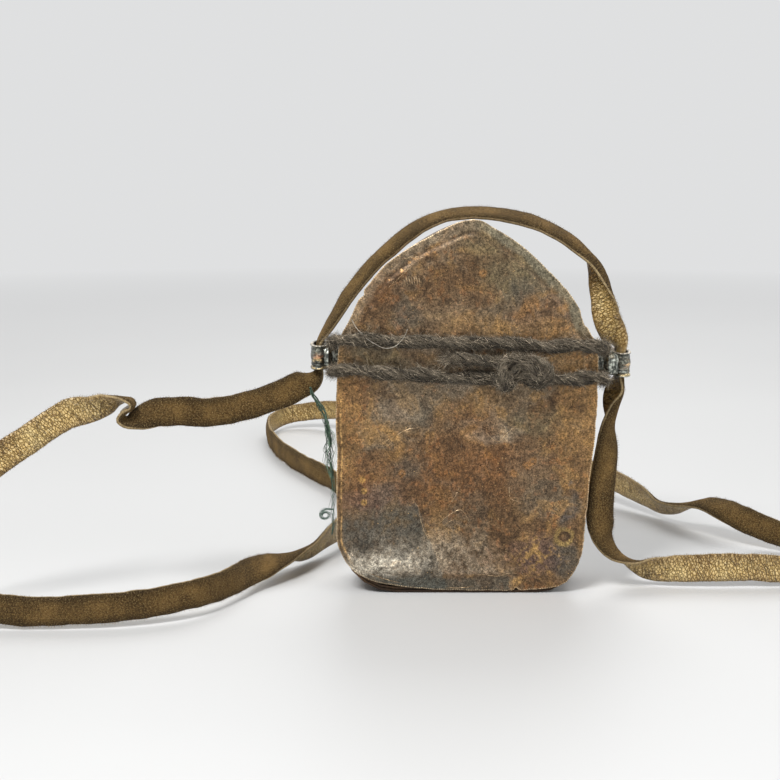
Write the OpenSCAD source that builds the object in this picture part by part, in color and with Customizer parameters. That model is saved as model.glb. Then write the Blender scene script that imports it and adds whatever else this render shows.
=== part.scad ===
// Ghau amulet box: a pointed-arch case of copper-alloy sheet with a glazed, embossed front,
// a lift-off back held on by a wool tie round two strap lugs, and a leather carrying strap.
// Millimetres. +Z is up, -Y is the plain back, +Y the decorated front. The origin is the
// middle of the flat base that the case stands on.

/* [Outline] */
// Half width of the back plate where the arch springs
half_w = 48; // [44:0.1:52]
// Half width of the back plate at its foot, to the right
foot_right = 44; // [41:0.5:48]
// Half width of the back plate at its foot, to the left
foot_left = 48.5; // [44:0.5:52]
// Height at which the arch springs from the sides
spring_z = 88; // [82:0.5:96]
// Radius of the arch's shoulders
shoulder_r = 18; // [15:0.5:24]
// Angle that each shoulder turns through, in degrees
shoulder_turn = 18; // [14:1:24]
// Radius of the arch's long flanks
flank_r = 70; // [64:1:80]
// Radius of the bottom corner on the right
corner_right_r = 17; // [12:0.5:20]
// Radius of the bottom corner on the left
corner_left_r = 22; // [14:0.5:26]

/* [Case] */
// Depth of the side wall, back to front
case_depth = 27; // [23:0.5:36]
// Thickness of the sheet in the side wall
wall_t = 0.9; // [0.6:0.05:1.4]
// Thickness of the embossed front sheet
front_t = 0.7; // [0.5:0.05:1.2]
// How far the back plate stands past the side wall
overhang = 2; // [1:0.25:3]

/* [Front] */
// Width of the flat band round the embossed front
front_band = 4.5; // [3.5:0.25:6]
// Height of the embossed field above the flat band
field_rise = 1.6; // [0.8:0.1:2.4]
// Height of the lotus petals above the field
petal_rise = 1.5; // [0.6:0.1:2.2]
// Number of lotus petals round the window
petal_count = 24; // [16:1:28]
// Half width of the window opening
window_half_w = 18; // [14:0.5:21]
// Height of the middle of the window
window_z = 64; // [58:1:70]
// Diameter of the pearled wire round the front
pearl_d = 2.6; // [1.8:0.1:3.2]
// Width of the window's collar
collar_w = 2.4; // [1.8:0.1:3.2]
// Height of the window's collar above the flat band
collar_h = 4.2; // [3.6:0.1:5.5]
// Thickness of the glass
pane_t = 1.2; // [0.8:0.1:1.6]

/* [Back cover] */
// Thickness of the back plate
plate_t = 0.7; // [0.5:0.05:1.2]
// Height of the back plate's foot above the base
plate_foot = 0.9; // [0.6:0.1:1.8]
// Width of the back plate's flat border
plate_border = 5; // [4.8:0.1:6.5]
// Height of the step inside the border
plate_step = 0.8; // [0.3:0.1:1.4]
// Further crown of the plate's middle
plate_crown = 1.4; // [0.4:0.1:2]
// Depth of the flange that fits inside the case
flange_depth = 5.5; // [4:0.5:6]
// Thickness of the flange
flange_t = 0.8; // [0.5:0.05:1.2]
// Clearance between the flange and the case
flange_gap = 0.3; // [0.2:0.05:0.5]

/* [Lugs] */
// Gap between the back plate's half width and the left lug's tube
lug_left_gap = 3.2; // [3:0.1:5.5]
// Gap between the back plate's half width and the right lug's tube
lug_right_gap = 6.1; // [5.9:0.1:8.5]
// Height of the left lug's middle
lug_left_z = 87.7; // [87:0.1:88.5]
// Height of the right lug's middle
lug_right_z = 85; // [84:0.1:86]
// Width of a lug's tube, side to side
lug_w = 7; // [6.8:0.1:7.2]
// Depth of a lug's tube, back to front
lug_d = 16.5; // [15.5:0.5:18]
// Height of a lug's tube
lug_h = 9; // [8:0.25:10]
// Wall of a lug's tube between its ribs
lug_wall = 0.8; // [0.6:0.05:1]
// Height of the ribs round a lug
rib_h = 0.35; // [0.2:0.05:0.5]
// Number of ribs round a lug
rib_count = 3; // [2:1:4]
// Height of the neck that carries a lug
neck_h = 6; // [5:0.25:6.4]
// Depth of the neck, back to front
neck_d = 8; // [6:0.5:8.4]
// Thickness of the seat plate under a neck
seat_t = 1; // [0.6:0.1:1.4]

/* [Contents] */
// Thickness of the clay tablet's slab
tablet_t = 5; // [4:0.25:6]
// Height of the moulded shrine above the slab
relief_h = 2; // [1:0.25:2.4]
// How far the clay tablet stands past the window's opening on each side
tablet_margin = 6; // [3:0.5:9]
// Width of the shrine moulded on the tablet
shrine_w = 22; // [16:0.5:28]
// Thickness of the folded silk
silk_t = 2; // [1.5:0.25:2.5]
// Width of the folded silk
silk_w = 50; // [40:1:52]
// Height of the folded silk
silk_h = 68; // [56:1:72]
// Diameter of each prayer roll
roll_d = 9; // [7:0.25:9.5]
// Length of each prayer roll
roll_l = 56; // [40:1:66]

/* [Strap and tie] */
// Width of the leather strap
strap_w = 10.4; // [9:0.1:11.5]
// Thickness of the leather strap
strap_t = 1.8; // [1.2:0.1:2.2]
// Diameter of the wool yarn
yarn_d = 5.4; // [4.6:0.1:5.6]

/* [Hidden] */

// Clearance between pieces that only lie near each other
ease = 0.3;

// Steps along each curve of the outline
corner_n = 5;
shoulder_n = 2;
flank_n = 11;

// The two faces of the side wall, and the faces of the back plate
wall_back = -case_depth / 2;
wall_front = case_depth / 2;
plate_back = wall_back - plate_t;
front_top = wall_front + front_t;

// Insets from the back plate's edge
case_inset = overhang;
flange_inset = overhang + wall_t + flange_gap;

// The crowned back plate shrinks in these steps from its border to its middle
crown_scales = [1, 0.82, 0.62, 0.4, 0.18];
step_w = 2.5;
crown_z = 0.74 * spring_z;

// Window, measured from its middle
window_h = 2.4 * window_half_w;
petal_band = 6.5;
points_per_petal = 4;
ring_n = petal_count * points_per_petal;
pane_gap = 0.2;
pane_lip = 1.5;
tab_size = [4, 5, 0.5];
tab_pitch = window_half_w * 2 / 3;

// The lugs' profile
lug_sides = 24;
neck_sink = 0.85;

// How far a seat plate reaches past its neck, up and down, and back and front, and how far
// in it is drawn before the case is cut from it
seat_rim = [1.5, 2];
seat_reach = 4;

// Contents, from front to back
pane_back = wall_front - ease - pane_t;
tablet_front = pane_back - 0.6 - ease;
tablet_back = tablet_front - relief_h - tablet_t;
silk_back = tablet_back - ease - silk_t;
roll_y = silk_back - ease - roll_d / 2;
roll_pitch = roll_d + 3;
roll_bore = 2.4;
thread_d = 0.8;
thread_band = 3;
base_rest = wall_t;

// Directions in which the suede face of the strap looks
UP = [0, 0, 1];
BACK = [0, -1, 0];
FRONT = [0, 1, 0];
LEFT = [-1, 0, 0];
RIGHT = [1, 0, 0];

lug_left_x = half_w + lug_left_gap + lug_w / 2;
lug_right_x = half_w + lug_right_gap + lug_w / 2;
lug_left_at = [-lug_left_x, 0, lug_left_z];
lug_right_at = [lug_right_x, 0, lug_right_z];

// The strap's free loop, from inside the left lug round behind the box to the right lug.
// Each point has its place and the way that the suede face looks there.
STRAP_LOOP = [
  [lug_left_at, LEFT], [[-54.7, 0, 83.5], LEFT], [[-57.2, -2.5, 80], [-0.7, -0.7, 0.2]],
  [[-62.5, -6.5, 77], [-0.1, -1, 0.3]], [[-73, -11, 73], [0, -1, 0.2]], [[-94, -17, 69], BACK],
  [[-105, -20, 70], [0, -1, 0.2]], [[-114, -22, 72], [0, -0.9, 0.5]],
  [[-117.5, -23, 73], [0, -0.5, 0.87]], [[-121, -24, 73.5], [0, 0, 1]],
  [[-125, -25, 73.2], [0, 0.5, 0.87]], [[-129, -26, 72.3], [0, 0.9, 0.5]], [[-142, -28, 71], FRONT],
  [[-154, -31, 64], FRONT], [[-166, -34, 56], [-0.2, 1, -0.1]], [[-177, -38, 46], [-0.6, 0.8, 0]],
  [[-183, -43, 33], [-1, 0.2, 0]], [[-183, -50, 20], [-0.9, -0.4, -0.3]],
  [[-177, -54, 11], [-0.4, -0.8, -0.5]], [[-163, -55, 7], BACK], [[-140, -55, 6.5], BACK],
  [[-115, -51, 7.5], [0.1, -1, 0]], [[-97, -42, 8.5], [0.5, -0.9, 0]],
  [[-87, -27, 8], [0.85, -0.5, 0.1]], [[-80, -11, 7.5], [0.8, -0.4, 0.6]],
  [[-71, 4, 8], [0.1, -0.1, 1]], [[-65, 14, 7], [-0.45, 0.25, 0.9]],
  [[-60, 23, 6], [-0.75, 0.4, 0.6]], [[-52, 38, 9], [-0.9, 0.4, 0.2]], [[-46, 65, 7], LEFT],
  [[-46, 100, 5.6], LEFT], [[-54, 138, 5.6], [-1, -0.3, 0]], [[-72, 176, 5.6], [-1, -0.4, 0]],
  [[-87, 215, 5.6], [-1, -0.3, 0]], [[-96, 255, 5.6], [-1, -0.1, 0]],
  [[-97, 279, 6.5], [-1, 0.1, 0]], [[-90, 296, 8], [-0.7, 0.7, 0]], [[-75, 300, 10], [0.1, 1, 0]],
  [[-57, 288, 13], [0.4, 0.9, 0]], [[-30, 260, 14], [0.6, 0.8, 0]], [[10, 209, 12], [0.7, 0.7, 0]],
  [[53, 149, 14], [0.7, 0.7, 0]], [[74, 119, 12], [0.8, 0.6, 0.1]], [[85, 102, 9], [0.8, 0.5, 0.3]],
  [[92, 89, 6.8], [0.6, 0.4, 0.7]], [[98, 77, 10], [0.2, 0.1, 1]],
  [[106, 65, 14.5], [-0.2, -0.2, 1]], [[112, 57, 13.8], [-0.4, -0.4, 0.8]],
  [[119, 50, 11], [-0.5, -0.8, 0.4]], [[132, 41, 7], [-0.3, -1, 0]],
  [[142, 32, 5.6], [-0.8, -0.6, 0]], [[145, 18, 5.6], LEFT], [[139, 3, 5.6], [-0.7, 0.7, 0]],
  [[125, -5, 6.5], [-0.2, 1, 0]], [[104, -6, 7.5], FRONT], [[82, -6, 7], FRONT],
  [[70, -6, 7], [0.1, 0.9, 0.4]], [[62, -6, 9.5], [0.5, 0.3, 0.8]],
  [[54, -7, 16], [0.8, -0.5, 0.3]], [[50.5, -9, 25], [0.3, -1, 0]], [[50.5, -9, 37], [0.3, -1, 0]],
  [[52, -7, 48], [0.4, -0.9, 0]], [[53, -5.5, 58], [0.7, -0.7, 0]], [[54.5, -3, 67], [1, 0, 0]],
  [[56.5, -1, 74], [0.9, 0.5, 0]], [[57.6, 0, 80], RIGHT], [lug_right_at, RIGHT]
];

// The stretch that the two lugs hold, from the right lug over the tip to the left lug
STRAP_OVER = [
  [lug_right_at, RIGHT], [[57.5, 0, 90.3], [1, 0.2, 0]], [[54.5, -1, 96], [0.5, 1, 0]],
  [[51.7, -2, 102], [0.2, 1, 0]], [[51, -2, 109], [0.3, 1, 0]], [[49, -2, 116.5], [0.6, 0.8, 0.1]],
  [[46, -1, 123], [0.9, 0, 0.4]], [[40, 0, 129], [0.5, -0.38, 0.8]],
  [[32, 0, 134], [0.4, -0.38, 0.8]], [[21, 0, 138.3], [0.2, -0.4, 0.9]],
  [[10, 0, 140.2], [0.1, -0.35, 1]], [[0, 0, 140.6], [0, -0.33, 1]],
  [[-10, 0, 139], [-0.1, -0.35, 1]], [[-19, 0, 135], [-0.4, -0.4, 0.8]],
  [[-32.5, 0, 124], [-0.6, -0.4, 0.7]], [[-38.5, 0, 117.3], [-0.7, -0.4, 0.6]],
  [[-44.3, 0, 110], [-0.85, -0.4, 0.4]], [[-48.6, 0, 103], [-0.95, -0.3, 0.3]],
  [[-52, 0, 97.5], [-1, -0.2, 0.1]], [[-54.7, 0, 92.5], LEFT], [lug_left_at, LEFT]
];

// The wool tie's two halves, from the middle of the back round each neck to the knot.
// Each point has its place and the share of the yarn's thickness that it has there. They
// turn the case's corner at hook_left and hook_right, between the lugs and their seats.
hook_left = half_w + 1.3;
hook_right = half_w + 2.9;
TIE_LEFT = [
  [[0, -19.4, 95], 1], [[-12, -19.4, 95.2], 1], [[-24, -19.2, 95.4], 1], [[-36, -18.6, 95.8], 1],
  [[4 - half_w, -17.8, 96], 0.96], [[0.2 - half_w, -17, 95.6], 0.8],
  [[-0.8 - hook_left, -14.4, 94.8], 0.54], [[-hook_left, -10, 93.4], 0.52],
  [[-hook_left, -4, 92.7], 0.52], [[-hook_left, 3.4, 92.7], 0.52],
  [[-hook_left, 5.6, 91.8], 0.52], [[-hook_left, 6.4, 89.7], 0.52],
  [[-hook_left, 6.4, 85.7], 0.52], [[-hook_left, 5.6, 83.6], 0.52],
  [[-hook_left, 3.4, 82.7], 0.52], [[-hook_left, -4, 82.7], 0.52],
  [[-hook_left, -10, 83], 0.52], [[-0.8 - hook_left, -14.4, 83.8], 0.54],
  [[0.2 - half_w, -17, 84.5], 0.8], [[4 - half_w, -17.8, 84.6], 0.96],
  [[-36, -18.6, 84.2], 1], [[-24, -19.2, 83.5], 1],
  [[-12, -19.4, 82.9], 1], [[-2, -19.4, 82.4], 1], [[6, -19.4, 82], 1]
];
TIE_RIGHT = [
  [[0, -19.4, 95], 1], [[12, -19.4, 94.8], 1], [[25, -19.2, 93.8], 1], [[36, -18.6, 93.6], 1],
  [[half_w - 4, -17.8, 93.4], 1], [[half_w + 0.4, -17, 93], 0.85],
  [[hook_right, -13, 92], 0.8], [[hook_right, -8, 91], 0.8], [[hook_right, -2, 90.7], 0.8],
  [[hook_right, 4, 90.7], 0.8], [[hook_right, 6.4, 89.4], 0.8], [[hook_right, 7, 87], 0.8],
  [[hook_right, 7, 83], 0.8], [[hook_right, 6.4, 80.6], 0.8], [[hook_right, 4, 79.3], 0.8],
  [[hook_right, -2, 79.3], 0.8], [[hook_right, -8, 79.3], 0.8], [[hook_right, -13, 80.2], 0.8],
  [[half_w + 0.4, -17, 81.4], 0.85], [[half_w - 4, -17.8, 81.8], 1],
  [[36, -18.6, 81.6], 1], [[29, -19.4, 81.5], 1], [[23, -19.4, 81.6], 0.9]
];

// The knot's yarn, from the left strand's end through its wrap and its ear to its tail
KNOT = [
  [[6, -19.4, 82], 1], [[9.6, -20, 81.5], 0.95], [[12.6, -22.5, 79.6], 0.9],
  [[13.6, -25.6, 81.3], 0.9], [[11.6, -26.4, 85.3], 0.9], [[11.4, -25.9, 88.3], 0.9],
  [[14.4, -25, 90.2], 0.85], [[19.2, -24.8, 89.6], 0.85], [[24, -24.8, 88.6], 0.88],
  [[27.8, -24.6, 86.8], 0.88], [[28.6, -24.6, 84], 0.88], [[26.4, -24.9, 81.8], 0.88],
  [[22.4, -25.2, 81.5], 0.85], [[19.6, -24.6, 83.2], 0.8], [[18, -21.9, 85.3], 0.75],
  [[14.5, -20.4, 87], 0.75], [[10, -20, 88], 0.9], [[4, -20.2, 88.7], 1.05], [[-2, -20, 89.1], 1.1],
  [[-6.5, -19.8, 89.3], 0.9]
];
yarn_sides = 8;
knot_steps = 2;

// ---------------------------------------------------------------- outline

// One side of the outline, from its bottom corner to the tip. The foot's half width, the
// corner's radius and the foot's height are given, and inset is the distance in from the
// back plate's edge.
function side_points(foot_half, corner_r, inset, foot) =
  let (
    turn_r = corner_r - inset,
    corner = [foot_half - corner_r, foot + turn_r],
    shoulder = [half_w - shoulder_r, spring_z],
    out = [cos(shoulder_turn), sin(shoulder_turn)],
    flank = shoulder - (flank_r - shoulder_r) * out,
    tip = acos(-flank.x / (flank_r - inset))
  )
  concat(
    [for (i = [0 : corner_n]) let (a = 90 * i / corner_n) corner + turn_r * [sin(a), -cos(a)]],
    [for (i = [0 : shoulder_n]) let (a = shoulder_turn * i / shoulder_n)
      shoulder + (shoulder_r - inset) * [cos(a), sin(a)]],
    [for (i = [1 : flank_n]) let (a = shoulder_turn + (tip - shoulder_turn) * i / flank_n)
      flank + (flank_r - inset) * [cos(a), sin(a)]]
  );

// The whole outline as seen from the back, anticlockwise from the bottom right corner
function outline(inset, foot) =
  let (
    right = side_points(foot_right, corner_right_r, inset, foot),
    left = side_points(foot_left, corner_left_r, inset, foot)
  )
  concat(right, [for (i = [len(left) - 2 : -1 : 0]) [-left[i].x, left[i].y]]);

// The window's outline: a pointed arch on a straight sill, inset by the given distance
function window_outline(inset) =
  let (
    w = window_half_w - inset,
    sill = -window_h / 2 + inset,
    arch_r = 1.5 * window_half_w - inset,
    centre = w - arch_r,
    spring = window_h / 2 - sqrt(pow(1.5 * window_half_w, 2) - pow(0.5 * window_half_w, 2)),
    tip = acos(-centre / arch_r)
  )
  [for (p = concat(
      [[-w, sill], [w, sill]],
      [for (i = [0 : flank_n]) let (a = tip * i / flank_n)
        [centre + arch_r * cos(a), spring + arch_r * sin(a)]],
      [for (i = [flank_n - 1 : -1 : 0]) let (a = tip * i / flank_n)
        [-centre - arch_r * cos(a), spring + arch_r * sin(a)]]
    )) p + [0, window_z]];

// ---------------------------------------------------------------- helpers

function lerp(a, b, t) = a + (b - a) * t;

// Lengths along a closed line, up to each of its points
function lengths_of(line) = [
  for (i = 0, s = 0; i <= len(line);
    s = s + norm(line[(i + 1) % len(line)] - line[i % len(line)]), i = i + 1) s
];

// The point at length s along a closed line
function point_at(line, lengths, s) =
  let (
    i = max([for (k = [0 : len(line) - 1]) if (lengths[k] <= s) k]),
    t = (s - lengths[i]) / (lengths[i + 1] - lengths[i])
  )
  lerp(line[i], line[(i + 1) % len(line)], t);

// A closed line as n points at equal spaces, from the place where it crosses x = 0 at the top
function evenly(line, n) =
  let (
    top = [for (i = [0 : len(line) - 1]) if (line[i].y == max([for (p = line) p.y])) i][0],
    from_top = [for (i = [0 : len(line) - 1]) line[(top + i) % len(line)]],
    lengths = lengths_of(from_top)
  )
  [for (i = [0 : n - 1]) point_at(from_top, lengths, lengths[len(line)] * i / n)];

// A flat outline lifted to the upright plane at the given y
function at_y(points, y) = [for (p = points) [p.x, y, p.y]];

// Triangles between two neighbouring rings of n points
function band_faces(a, b, n) = [
  for (i = [0 : n - 1]) let (j = (i + 1) % n)
    each [[a * n + i, a * n + j, b * n + j], [a * n + i, b * n + j, b * n + i]]
];

// A solid through rings of equally many points, capped at both ends or closed on itself.
// Seen from ahead, each ring runs clockwise.
module skin(rings, ring_closed = false) {
  n = len(rings[0]);
  last = len(rings) - 1;
  polyhedron(
    points = [for (r = rings) each r],
    faces = concat(
      [for (k = [0 : last - 1]) each band_faces(k, k + 1, n)],
      ring_closed
        ? band_faces(last, 0, n)
        : [for (i = [1 : n - 2]) each [[0, i + 1, i], [last * n, last * n + i, last * n + i + 1]]]
    ),
    convexity = 8
  );
}

// A flat outline extruded along Y from y0, over the given depth
module upright(y0, depth) {
  translate([0, y0 + depth, 0]) rotate([90, 0, 0]) linear_extrude(depth) children();
}

// A strip of sheet that follows the outline, with its outer face at the given inset
module strip(inset, foot, thick, y0, depth) {
  upright(y0, depth) difference() {
    polygon(outline(inset, foot));
    polygon(outline(inset + thick, foot + thick));
  }
}

function unit(v) = v / norm(v);

// Direction of a route at its point i
function along(places, i) =
  unit(places[min(i + 1, len(places) - 1)] - places[max(i - 1, 0)]);

// A flat strap along a route of places and suede directions
module flat_strap(route) {
  places = [for (r = route) r[0]];
  w = strap_w / 2;
  t = strap_t / 2;
  section = [[-w, -t / 2], [-0.88 * w, -t], [0.88 * w, -t], [w, -t / 2],
             [w, t / 2], [0.88 * w, t], [-0.88 * w, t], [-w, t / 2]];
  skin([
    for (i = [0 : len(route) - 1])
      let (
        dir = along(places, i),
        face = unit(route[i][1] - (route[i][1] * dir) * dir),
        across = cross(dir, face)
      )
      [for (p = section) places[i] + p.x * across + p.y * face]
  ]);
}

// Directions across a round tube, carried along its route with no twist
function carried(places, i) =
  i == 0
    ? let (d = along(places, 0), v = cross(d, abs(d.z) < 0.8 ? UP : RIGHT)) unit(v)
    : let (d = along(places, i), v = carried(places, i - 1)) unit(v - (v * d) * d);

// A round tube of yarn along a route of places and shares of the yarn's thickness
module yarn(route) {
  places = [for (r = route) r[0]];
  skin([
    for (i = [0 : len(route) - 1])
      let (dir = along(places, i), u = carried(places, i), v = cross(dir, u), r = route[i][1] * yarn_d / 2)
      [for (k = [0 : yarn_sides - 1]) let (a = 360 * k / yarn_sides)
        places[i] + r * (cos(a) * u - sin(a) * v)]
  ]);
}

// A smooth curve through a route, with the given number of steps between points
function smooth(route, steps) = [
  for (i = [0 : len(route) - 2], k = [0 : steps - 1]) let (
      p0 = route[max(i - 1, 0)], p1 = route[i], p2 = route[i + 1],
      p3 = route[min(i + 2, len(route) - 1)], t = k / steps
    )
    [for (j = [0 : 1]) 0.5 * (2 * p1[j] + t * (p2[j] - p0[j])
      + t * t * (2 * p0[j] - 5 * p1[j] + 4 * p2[j] - p3[j])
      + t * t * t * (3 * p1[j] - p0[j] - 3 * p2[j] + p3[j]))],
  route[len(route) - 1]
];

// ---------------------------------------------------------------- case

module side_wall() {
  color("peru") strip(case_inset, 0, wall_t, wall_back, case_depth);
}

// The embossed front: a flat band, a rise to the field, a ring of lotus petals and the window
module front_panel() {
  outer = evenly(outline(case_inset, 0), ring_n);
  foot = evenly(outline(case_inset + front_band, front_band), ring_n);
  field = evenly(outline(case_inset + front_band + 1.5, front_band + 1.5), ring_n);
  sill = evenly(window_outline(-collar_w), ring_n);
  hole = evenly(window_outline(0), ring_n);
  petal_tip = [for (i = [0 : ring_n - 1]) sill[i] + petal_band * unit(sill[i] - [0, window_z])];
  lobe = [for (i = [0 : ring_n - 1]) abs(sin(180 * i / points_per_petal))];
  // Each ring is its flat points, its height and how far the petals lift it
  rows = [
    [outer, 0, 0], [foot, 0, 0], [field, field_rise, 0],
    [[for (i = [0 : ring_n - 1]) lerp(petal_tip[i], field[i], 0.12 - 0.1 * lobe[i])], field_rise, 0],
    [petal_tip, field_rise, 0.45],
    [[for (i = [0 : ring_n - 1]) lerp(sill[i], petal_tip[i], 0.6)], field_rise, 1],
    [[for (i = [0 : ring_n - 1]) lerp(sill[i], petal_tip[i], 0.25)], field_rise, 0.7],
    [sill, 0, 0], [hole, 0, 0]
  ];
  top = [for (r = rows) [for (i = [0 : ring_n - 1])
    [r[0][i].x, front_top + r[1] + petal_rise * r[2] * lobe[i], r[0][i].y]]];
  under = [for (k = [len(rows) - 1 : -1 : 0]) [for (p = top[k]) p - [0, front_t, 0]]];
  color("silver") skin(concat(under, top), true);
}

// A pearled wire along the front's edge: each pearl is a fat ring between two thin ones
module border_wire() {
  inset = case_inset + front_band / 2;
  path = outline(inset, front_band / 2);
  lengths = lengths_of(path);
  count = 2 * round(lengths[len(path)] / (pearl_d * 1.15));
  line = evenly(path, count);
  sides = 6;
  color("gainsboro") skin([
    for (i = [0 : count - 1])
      let (
        dir = unit(line[(i + 1) % count] - line[(i + count - 1) % count]),
        out = [dir.y, 0, -dir.x],
        r = pearl_d / 2 * (i % 2 == 0 ? 1 : 0.55),
        mid = [line[i].x, front_top + pearl_d / 2, line[i].y]
      )
      [for (k = [0 : sides - 1]) let (a = 360 * k / sides)
        mid + r * (cos(a) * out - sin(a) * FRONT)]
  ], true);
}

// The collar round the window, with an inner lip over the glass
module window_frame() {
  color("gainsboro") difference() {
    upright(front_top, collar_h) polygon(window_outline(ease - collar_w));
    upright(front_top - 1, collar_h + 2) polygon(window_outline(pane_lip));
    upright(front_top - 1, collar_h) polygon(window_outline(0.4));
  }
}

module window_pane() {
  color("azure", 0.5) upright(pane_back, pane_t) polygon(window_outline(-pane_lip - 0.5));
}

// Bent tabs behind the front that keep the glass in place
module window_tabs() {
  reach = window_half_w + pane_lip + 0.5 + pane_gap;
  for (side = [-1, 1], z = [-tab_pitch, 0])
    color("silver") translate([side * (reach + tab_size[2]), 0, window_z + z]) {
      translate([-tab_size[2], pane_back - pane_gap, -tab_size.y / 2])
        cube([2 * tab_size[2], pane_t + pane_gap + ease, tab_size.y]);
      translate([side > 0 ? -tab_size.x : 0, pane_back - pane_gap - tab_size[2], -tab_size.y / 2])
        cube([tab_size.x, tab_size[2], tab_size.y]);
    }
}

// ---------------------------------------------------------------- back cover

// The back plate: a flat border, a shallow step and a gently crowned middle
module back_plate() {
  rim = outline(0, plate_foot);
  border = outline(plate_border, plate_foot + plate_border);
  field = outline(plate_border + step_w, plate_foot + plate_border + step_w);
  middle = [0, crown_z];
  crown = [for (s = crown_scales) [for (p = field) middle + s * (p - middle)]];
  heights = [for (s = crown_scales) plate_step + plate_crown * (1 - s * s)];
  flats = concat([rim, border], crown);
  lifts = concat([0, 0], heights);
  last = len(flats) - 1;
  outside = [for (k = [last : -1 : 0]) at_y(flats[k], plate_back - lifts[k])];
  inside = [for (k = [0 : last]) at_y(flats[k], plate_back + plate_t - lifts[k])];
  color("sienna") skin(concat(outside, inside));
}

module cover_flange() {
  color("peru") strip(flange_inset, wall_t + flange_gap, flange_t, wall_back, flange_depth);
}

// ---------------------------------------------------------------- lugs

// How far the ribs stand out at height z of a lug, with a bead at each rim
function rib_lift(z) =
  let (u = (z / lug_h + 0.5) * (rib_count + 1), near = abs(u - round(u)))
  near < 0.2 ? rib_h * (round(u) == 0 || round(u) == rib_count + 1 ? 1.3 : 1) : 0;

function oval(half_x, half_y, z) = [
  for (k = [0 : lug_sides - 1]) let (a = 360 * k / lug_sides)
    [half_x * cos(a), half_y * sin(a), z]
];

// A ribbed oval tube that the strap runs through, on a neck towards the case at -X
module lug(neck_l) {
  band = lug_h / (rib_count + 1);
  levels = [for (k = [0 : rib_count + 1]) each
    k == 0 ? [0, 0.2] : k == rib_count + 1 ? [k - 0.2, k] : [k - 0.32, k - 0.15, k + 0.15, k + 0.32]];
  heights = [for (l = levels) l * band - lug_h / 2];
  core = [lug_w / 2 - rib_h * 1.3, lug_d / 2 - rib_h * 1.3];
  outside = [for (i = [len(heights) - 1 : -1 : 0]) let (z = heights[i])
    oval(core.x + rib_lift(z), core.y + rib_lift(z), z)];
  bore = [core.x - lug_wall, core.y - lug_wall];
  color("darkkhaki") {
    skin(concat(outside, [oval(bore.x, bore.y, -lug_h / 2), oval(bore.x, bore.y, lug_h / 2)]), true);
    chamfer = neck_h / 5;
    y = neck_d / 2;
    z = neck_h / 2;
    translate([-lug_w / 2 - neck_l, 0, 0]) rotate([90, 0, 90])
      linear_extrude(neck_l + rib_h * 1.3 + neck_sink * lug_wall)
        polygon([[-y, -z + chamfer], [-y + chamfer, -z], [y - chamfer, -z], [y, -z + chamfer],
                 [y, z - chamfer], [y - chamfer, z], [-y + chamfer, z], [-y, z - chamfer]]);
  }
}

// Where a seat's outer face stands, on the side with the given foot and corner, for a lug at
// height z
function seat_x(foot_half, corner_r, z) =
  let (low = corner_r - case_inset)
  lerp(foot_half, half_w, min(1, (z - low) / (spring_z - low))) - case_inset + seat_t;

module lug_left() {
  translate(lug_left_at) mirror([1, 0, 0])
    lug(lug_left_x - lug_w / 2 - seat_x(foot_left, corner_left_r, lug_left_z));
}

module lug_right() {
  translate(lug_right_at)
    lug(lug_right_x - lug_w / 2 - seat_x(foot_right, corner_right_r, lug_right_z));
}

// A seat plate that lies against the side wall and carries a neck, on the right or left side
module lug_seat(side, foot_half, corner_r, z) {
  h = neck_h + 2 * seat_rim[0];
  d = neck_d + 2 * seat_rim[1];
  edge = seat_x(foot_half, corner_r, z);
  color("darkkhaki") upright(-d / 2, d) difference() {
    translate([side > 0 ? edge - seat_reach : -edge, z - h / 2]) square([seat_reach, h]);
    polygon(outline(case_inset, 0));
  }
}

module lug_seat_left() { lug_seat(-1, foot_left, corner_left_r, lug_left_z); }
module lug_seat_right() { lug_seat(1, foot_right, corner_right_r, lug_right_z); }

// ---------------------------------------------------------------- contents

// A clay tablet with a moulded shrine: steps, a dome, a box and a spire, each sized by the
// shrine's width
module clay_tablet() {
  slab_w = window_half_w + tablet_margin;
  spring = window_z + window_h / 2 - window_half_w + tablet_margin / 2;
  step_h = shrine_w / 7;
  low = window_z - 5 * step_h;
  dome_r = shrine_w / 3;
  dome_z = low + 3 * step_h + 0.75 * dome_r;
  box_z = dome_z + 0.85 * dome_r;
  spire_z = box_z + 0.6 * dome_r;
  color("rosybrown") {
    upright(tablet_back, tablet_t) union() {
      translate([-slab_w, base_rest]) square([2 * slab_w, spring - base_rest]);
      translate([0, spring]) circle(r = slab_w, $fn = 64);
    }
    upright(tablet_back + tablet_t, relief_h) {
      for (k = [0 : 2]) let (w = shrine_w * (1 - 0.18 * k))
        translate([-w / 2, low + step_h * k]) square([w, step_h]);
      translate([0, dome_z]) circle(r = dome_r, $fn = 48);
      translate([-dome_r / 3, box_z]) square([dome_r * 2 / 3, spire_z - box_z]);
      polygon([[-dome_r / 4, spire_z], [dome_r / 4, spire_z],
               [dome_r / 12, spire_z + 1.25 * dome_r], [-dome_r / 12, spire_z + 1.25 * dome_r]]);
    }
  }
}

// Folded silk between the tablet and the prayer rolls
module silk_pad() {
  w = silk_w / 2;
  cut = silk_t;
  color("firebrick") upright(silk_back, silk_t) translate([0, base_rest])
    polygon([[-w, cut], [cut - w, 0], [w - cut, 0], [w, cut],
             [w, silk_h - cut], [w - cut, silk_h], [cut - w, silk_h], [-w, silk_h - cut]]);
}

// A sheet of printed paper rolled up on itself
module prayer_roll(x) {
  color("wheat") translate([x, roll_y, base_rest]) difference() {
    cylinder(d = roll_d, h = roll_l, $fn = 48);
    translate([0, 0, -1]) cylinder(d = roll_bore, h = roll_l + 2, $fn = 24);
  }
}

module prayer_roll_left() { prayer_roll(-roll_pitch); }
module prayer_roll_middle() { prayer_roll(0); }
module prayer_roll_right() { prayer_roll(roll_pitch); }

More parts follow.
